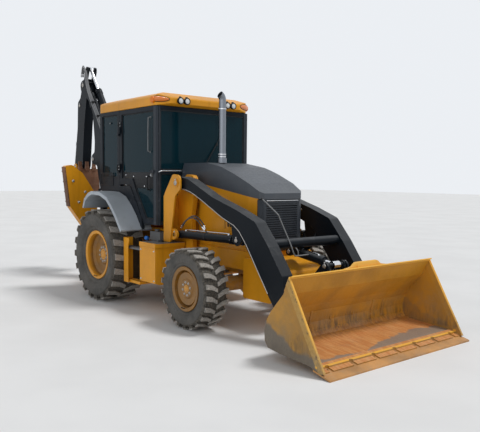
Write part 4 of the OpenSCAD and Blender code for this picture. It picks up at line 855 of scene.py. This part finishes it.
# ------------------------ hood, exhaust and tanks
skin = Piece("hood_trim", BLACK)
for side, s in SIDES:
    far = s * HOOD_SIDE
    skin.block((1485, 1491), (far - s * 1, far + s * 1.2), (905, 1392), 0.4)
    skin.block((2020, 2024), (far - s * 1, far + s * 1.2), (1105, 1290), 0.4)
    for k in range(7):
        skin.block((2070 + 42 * k, 2092 + 42 * k), (far - s * 1, far + s * 1.6), (1130, 1250), 0.6)
    y0 = outer_y(1250, 1700, s, names=("hood",))[0]
    if y0:
        skin.block((1236, 1292), (y0, y0 + s * 9), (1660, 1684), 3, STEEL)
skin.block((2637, 2641), (-250, 250), (1452, 1460), 1, STEEL)
skin.done()

clamps = Piece("exhaust_clamps", STEEL)
for z in (1966, 1996, 2560):
    clamps.lathe([(45.3, 0), (50, 1), (50, 14), (45.3, 15)], (1620, -100, z), (0, 0, 1), 32, closed=True)
    clamps.block((1612, 1628), (-160, -148), (z + 1, z + 14), 1.5)
    clamps.bolt((1628, -154, z + 7), (1, 0, 0), 8, False)
clamps.done()

tank = Piece("tank_fittings", GREY)
tank.lathe([(26, 0), (28, 6), (28, 46), (24, 54)], (820, -700, 905), (0.35, -0.9, 0.25), 20, BLUE)
tank.block((770, 902), (-712, -568), (896, 912), 5)
tank.prism([(790, 898), (901, 898), (901, 830)], -652, -640, "y", 1)
tank.lathe([(18, 0), (20, 6), (20, 40), (14, 48)], (1142, -640, 968), (1, 0, 0.1), 16, GREEN)
tank.lathe([(12, 0), (12, 46), (8, 50)], (1188, -640, 972), (1, 0, 0.15), 12, GREEN)
tank.hose([(1236, -640, 980), (1262, -628, 986), (1290, -590, 984), (1305, -540, 960), (1300, -470, 930)], 9)
for s in (1, -1):
    tank.lathe([(30, 22), (36, 16), (38, 4), (42, 0)], (1230, s * 760, 900), (0, 0, 1), 24, BLACK)
    for x in (1040, 1350):
        for z in (430, 800):
            tank.bolt((x, s * 940, z), (0, s, 0), 16, True, STEEL)
tank.done()

# ------------------------ pins of the linkages
# x and z of each pin, where the ray starts at y, and the radius of the pin's cap
PINS = ((1470, 1640, 900, 30), (1400, 1000, 900, 26), (2560, 1020, 900, 24), (3430, 250, 1000, 30),
        (2840, 890, 130, 24), (3557, 488, 240, 24), (3454, 801, 240, 24),
        (-1520, 800, 400, 32), (-1680, 580, 400, 26), (-2000, 2000, 400, 26), (-2330, 3280, 400, 32),
        (-1500, 2550, 400, 26), (-2660, 1600, 400, 28), (-2520, 2950, 400, 24),
        (-2670, 1880, 400, 24), (-2930, 1720, 400, 24), (-2519, 1459, 400, 24))
caps = {}
for x, z, start, r in PINS:
    for s in (1, -1):
        found = [outer_y(x + r * 1.15 * cos(a), z + r * 1.15 * sin(a), s, start)
                 for a in (0.3, 1.9, 3.5, 5.1)]
        found = [f for f in found if f[0] is not None]
        if not found:
            continue
        y, n = max(found, key=lambda f: s * f[0])
        body = BODY_OF[n]
        if body not in caps:
            caps[body] = Piece(f"pins_{body}", CAST, body)
        c = caps[body]
        c.lathe([(r * 0.8, 12), (r * 0.95, 9), (r, 6), (r, 0)], (x, y, z), (0, s, 0), 24)
        c.lathe([(0, 6), (4, 5), (5, 0)], (x, y + s * 12, z), (0, s, 0), 8, BRASS)
        c.prism([(x - 9, z + r * 0.5), (x + 9, z + r * 0.5), (x + 9, z + r * 1.75), (x - 9, z + r * 1.75)],
                y + s * 0.5, y + s * 6, "y", 1.5)
        c.bolt((x, y + s * 6, z + r * 1.45), (0, s, 0), 12, False, STEEL)
for c in caps.values():
    c.done()


# ------------------------ cylinders, hoses and pipes of the loader
def cylinder_fittings(name, body, base, eye, y, r, reach, rod_r, aside=False):
    """Gland ring, wiper ring and a feed pipe on one cylinder. base and eye are (x, z) points."""
    d = Vector((eye[0] - base[0], 0, eye[1] - base[1])).normalized()
    above = Vector((0, -1, 0)) if aside else Vector((-d.z, 0, d.x))
    at = Vector((base[0], y, base[1]))
    c = Piece(name, CHARCOAL, body)
    tip = at + d * reach
    c.lathe([(rod_r + 1, 0), (r + 2, 0), (r + 4, 3), (r + 4, 30), (r + 2, 36), (rod_r + 1, 38)], tip - d * 37,
            d, 28, closed=True)
    c.lathe([(rod_r + 0.6, 0), (rod_r + 7, 0), (rod_r + 6, 5), (rod_r + 0.6, 6)], tip + d * 1.2, d, 24, SEAL,
            closed=True)
    u, w = square_to(d)[1:]
    for k in range(6):
        a = tau * k / 6
        out = u * cos(a) + w * sin(a)
        c.bolt(tip - d * 18 + out * (r + 3.5), out, 7, False, STEEL)
    p0, p1 = at + d * 120 + above * (r + 14), tip - d * 90 + above * (r + 14)
    c.tube([p0 - above * 14, p0 - above * 2 + d * 6, p0 + d * 24, p0 + (p1 - p0) * 0.5, p1 - d * 24,
            p1 - above * 2 - d * 6, p1 - above * 15], 7, 8, 4, STEEL)
    m = p0 + (p1 - p0) * 0.5
    c.lathe([(12, -9), (12, 9)], m - above * 3, d, 6, BLACK)
    c.lathe([(r + 0.4, -10), (r + 3, -10), (r + 3, 10), (r + 0.4, 10)], at + d * ((m - at).dot(d)), d, 28,
            BLACK, closed=True)
    for p in (p0, p1):
        c.lathe([(16, 0), (16, 16), (12, 20)], p - above * 20, above, 6, STEEL)
    c.done()


for side, s in SIDES:
    cylinder_fittings(f"lift_cylinder_fittings_{side}", "lift_barrels", (1400, 1000), (2560, 1020), s * 575,
                      48, 1060, 25)
    for k in (0, 1):
        h = Piece(f"lift_hose_{side}_{k}", HOSE, "lift_barrels")
        y, z = s * (604 - 26 * k), 20 * k
        h.hose([(1440, y - s * 10, 1092 + z), (1500, y, 1142 + z), (1585, y, 1196 + z), (1690, y, 1224 + z),
                (1790, y, 1200 + z), (1860, y - s * 6, 1146 + z), (1905, s * (585 - 14 * k), 1096 + z * 0.6)],
               9)
        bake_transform(h.done(False))
cylinder_fittings("tilt_cylinder_fittings", "tilt_barrel", (2840, 890), (3454, 801), 0, 40, 470, 24)
cylinder_fittings("boom_cylinder_fittings", "boom_barrel", (-1680, 580), (-2000, 2000), 0, 52, 940, 30,
                  aside=True)
cylinder_fittings("crowd_cylinder_fittings", "crowd_barrel", (-1500, 2550), (-2220, 3550), 0, 50, 765, 28)
cylinder_fittings("hoe_cylinder_fittings", "hoe_barrel", (-2520, 2950), (-2930, 1720), 0, 46, 735, 27)

rod = Piece("level_rod", GREY, "loader_arms")
rod.tube([(2730, -400, 1482), (2755, -396, 1466), (2900, -362, 1352), (2945, -349, 1310), (2960, -340, 1270),
          (3080, -296, 1010), (3104, -284, 940), (3112, -262, 892), (3116, -232, 880),
          (3120, -60, 882)], 8, 10, 5)
rod.tube([(3116, -210, 880), (3110, -212, 930), (3080, -214, 962)], 7, 8, 4)
rod.lathe([(11, 0), (11, 22)], (2738, -398, 1476), (-0.8, -0.2, 0.6), 12, SEAL)
rod.done()

plumbing = Piece("arm_pipes", STEEL, "loader_arms")
top = 2200  # above the arms
for s in (1, -1):
    for k in (0, 1):
        y = s * (492 - 20 * k)
        line = []
        for x in (1720, 1900, 2100, 2300, 2450):
            far = hit((x, s * 575, top), (0, 0, -1), "loader_arms")[0]
            line.append((x, y, top - far - 70) if far is not None else (x, y, 1500))
        plumbing.tube(line, 7, 8, 5)
        for end, dip in ((line[0], -0.3), (line[-1], -0.6)):
            plumbing.lathe([(13, -12), (13, 12)], end, (1, 0, dip), 6)
plumbing.done()

# A light worn-steel bead along each arm's outer lower edge, standing in for the light that edge catches: a
# painted highlight.
for side, s in SIDES:
    lit_edge_bead = Piece(f"arm_edge_highlights_{side}", CAST, "loader_arms")
    low = [(1420, 1566), (1560, 1566), (1800, 1506), (2330, 1266), (2644, 1126), (2975, 706), (3120, 512)]
    lit_edge_bead.tube([(x, s * 651, z) for x, z in low], 6, 6, 3)
    lit_edge_bead.done()

edge_bolts = Piece("edge_bolts", BLACK, "loader_bucket")
for k in range(7):
    y = -960 + 320 * k
    far = hit((4292, y, 700), (0, 0, -1), "loader_bucket", "cutting_edge")[0]
    if far is not None:
        edge_bolts.lathe([(12, 4), (22, 1), (24, -10)], (4250, y, 700 - far), (0, 0, 1), 16)
edge_bolts.done()
guard = Piece("spill_guard_wings", BUCKET, "loader_bucket")
for s in (1, -1):
    guard.prism([(s * 148, 806), (s * 148, 892), (s * 172, 888), (s * 196, 872), (s * 222, 852),
                 (s * 262, 844), (s * 320, 838), (s * 320, 806)], 3850, 3878, "x", 2)
guard.done()

# ------------------------ backhoe
for k, y in enumerate((-118, -134, -150)):
    h = Piece(f"dipper_hose_{k}", SLEEVE, "dipper")
    h.hose([(-1500 - 24 * k, y, 2380 + 12 * k), (-1560 - 22 * k, y - 4, 2520), (-1690 - 20 * k, y - 6, 2710),
            (-1880 - 18 * k, y - 8, 2960), (-2010 - 14 * k, y - 10, 3140 + 10 * k),
            (-2090 - 12 * k, y - 6, 3300 + 12 * k),
            (-2150, y, 3450 + 26 * k), (-2230, y + 14, 3540 + 26 * k), (-2310, y + 30, 3530 + 20 * k),
            (-2350 - 8 * k, y + 36, 3440)], 10)
    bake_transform(h.done(False))
clips = Piece("boom_clips", BLACK, "boom")
for x, z in ((-1700, 2715), (-1880, 2955)):
    clips.block((x - 40, x + 30), (-168, -107), (z - 14, z + 14), 4)
    clips.bolt((x - 6, -168, z), (0, -1, 0), 10, False, STEEL)
clips.done()
for k in range(4):
    y = -84 + 56 * k
    h = Piece(f"boom_foot_hose_{k}", HOSE, "boom")
    h.hose([(-1330, y, 1010), (-1290, y * 1.05, 1090), (-1262, y * 1.1, 1210), (-1275, y * 1.1, 1330),
            (-1330, y * 1.1, 1440), (-1368, y, 1520)], 11)
    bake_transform(h.done(False))
valves = Piece("valve_bank", CHARCOAL)
valves.block((-900, -834), (-190, 190), (1520, 1615), 6)
for k in range(6):
    y = -160 + 64 * k
    valves.lathe([(13, 0), (13, 30), (8, 34), (8, 60)], (-868, y, 1615), (0, 0, 1), 12, STEEL)
valves.done()

for side, s in SIDES:
    pad = Piece(f"stabilizer_pad_{side}", RUSTY, f"stabilizer_{side}")
    a, b = Vector((s * 1024, 1262)), Vector((s * 1090, 1850))
    t = (b - a).normalized()
    normal = Vector((s * t.y, -abs(t.x)))
    pad.prism([a + normal, b + normal, b + normal * 12, a + normal * 12], -984, -866, "x", 2)
    for k in range(4):
        q = a + t * (60 + 150 * k)
        pad.prism([q + normal * 11, q + t * 26 + normal * 11, q + t * 20 + normal * 19,
                   q + t * 6 + normal * 19],
                  -982, -868, "x", 1)
    pad.done()
    bolts = Piece(f"stabilizer_bolts_{side}", CAST, f"stabilizer_{side}")
    for y, z in ((973, 1639), (783, 1474), (885, 1325)):
        far = hit((-500, s * y, z), (-1, 0, 0), f"stabilizer_{side}")[0]
        if far is not None:
            bolts.lathe([(16, 10), (20, 7), (22, 0)], (-500 - far, s * y, z), (1, 0, 0), 20)
            bolts.bolt((-500 - far + 10, s * y, z), (1, 0, 0), 16, False, STEEL)
    bolts.done()
ears = Piece("hoe_bucket_bolts", CAST, "hoe_bucket")
for s in (1, -1):
    for x, z in ((-2240, 1800), (-2290, 1640), (-2370, 1480)):
        y = outer_y(x, z, s, 400, ("hoe_bucket",))[0]
        if y is not None:
            ears.bolt((x, y, z), (0, s, 0), 20, True)
ears.done()

# ------------------------ stage
def stage():
    """A pale floor, a pale world and two soft suns."""
    s = Shader("pale_floor")
    s.set(Base_Color=s.mix(s.step(s.noise(0.8, 3), 0.3, 0.7), (0.74, 0.74, 0.735), (0.78, 0.78, 0.775)),
          Roughness=0.9, Specular_IOR_Level=0.1)
    me = bpy.data.meshes.new("floor")
    r = 60
    me.from_pydata([(-r, -r, 0), (r, -r, 0), (r, r, 0), (-r, r, 0)], [], [(0, 1, 2, 3)])
    me.materials.append(s.m)
    floor = placed("floor", me)
    world = bpy.data.worlds.new("studio")
    bpy.context.scene.world = world
    world.use_nodes = True
    t = world.node_tree
    bg = t.nodes["Background"]
    ray = t.nodes.new("ShaderNodeLightPath")
    seen = ray.outputs["Is Camera Ray"]
    for other in ("Is Glossy Ray", "Is Transmission Ray"):
        either = t.nodes.new("ShaderNodeMath")
        either.operation = "MAXIMUM"
        t.links.new(seen, either.inputs[0])
        t.links.new(ray.outputs[other], either.inputs[1])
        seen = either.outputs[0]
    level = t.nodes.new("ShaderNodeMapRange")
    level.inputs[3].default_value = WORLD_LIGHT
    level.inputs[4].default_value = BACKDROP
    t.links.new(seen, level.inputs[0])
    t.links.new(level.outputs[0], bg.inputs["Strength"])
    bg.inputs["Color"].default_value = (0.93, 0.96, 1.0, 1)
    for name, energy, softness, towards in LAMPS:
        l = bpy.data.lights.new(name, "SUN")
        l.energy, l.angle = energy, radians(softness)
        o = placed(name, l)
        o.location = Vector(towards) * 8
        o.rotation_euler = (-Vector(towards)).to_track_quat("-Z", "Y").to_euler()


stage()
bpy.context.scene.view_settings.view_transform = "Standard"
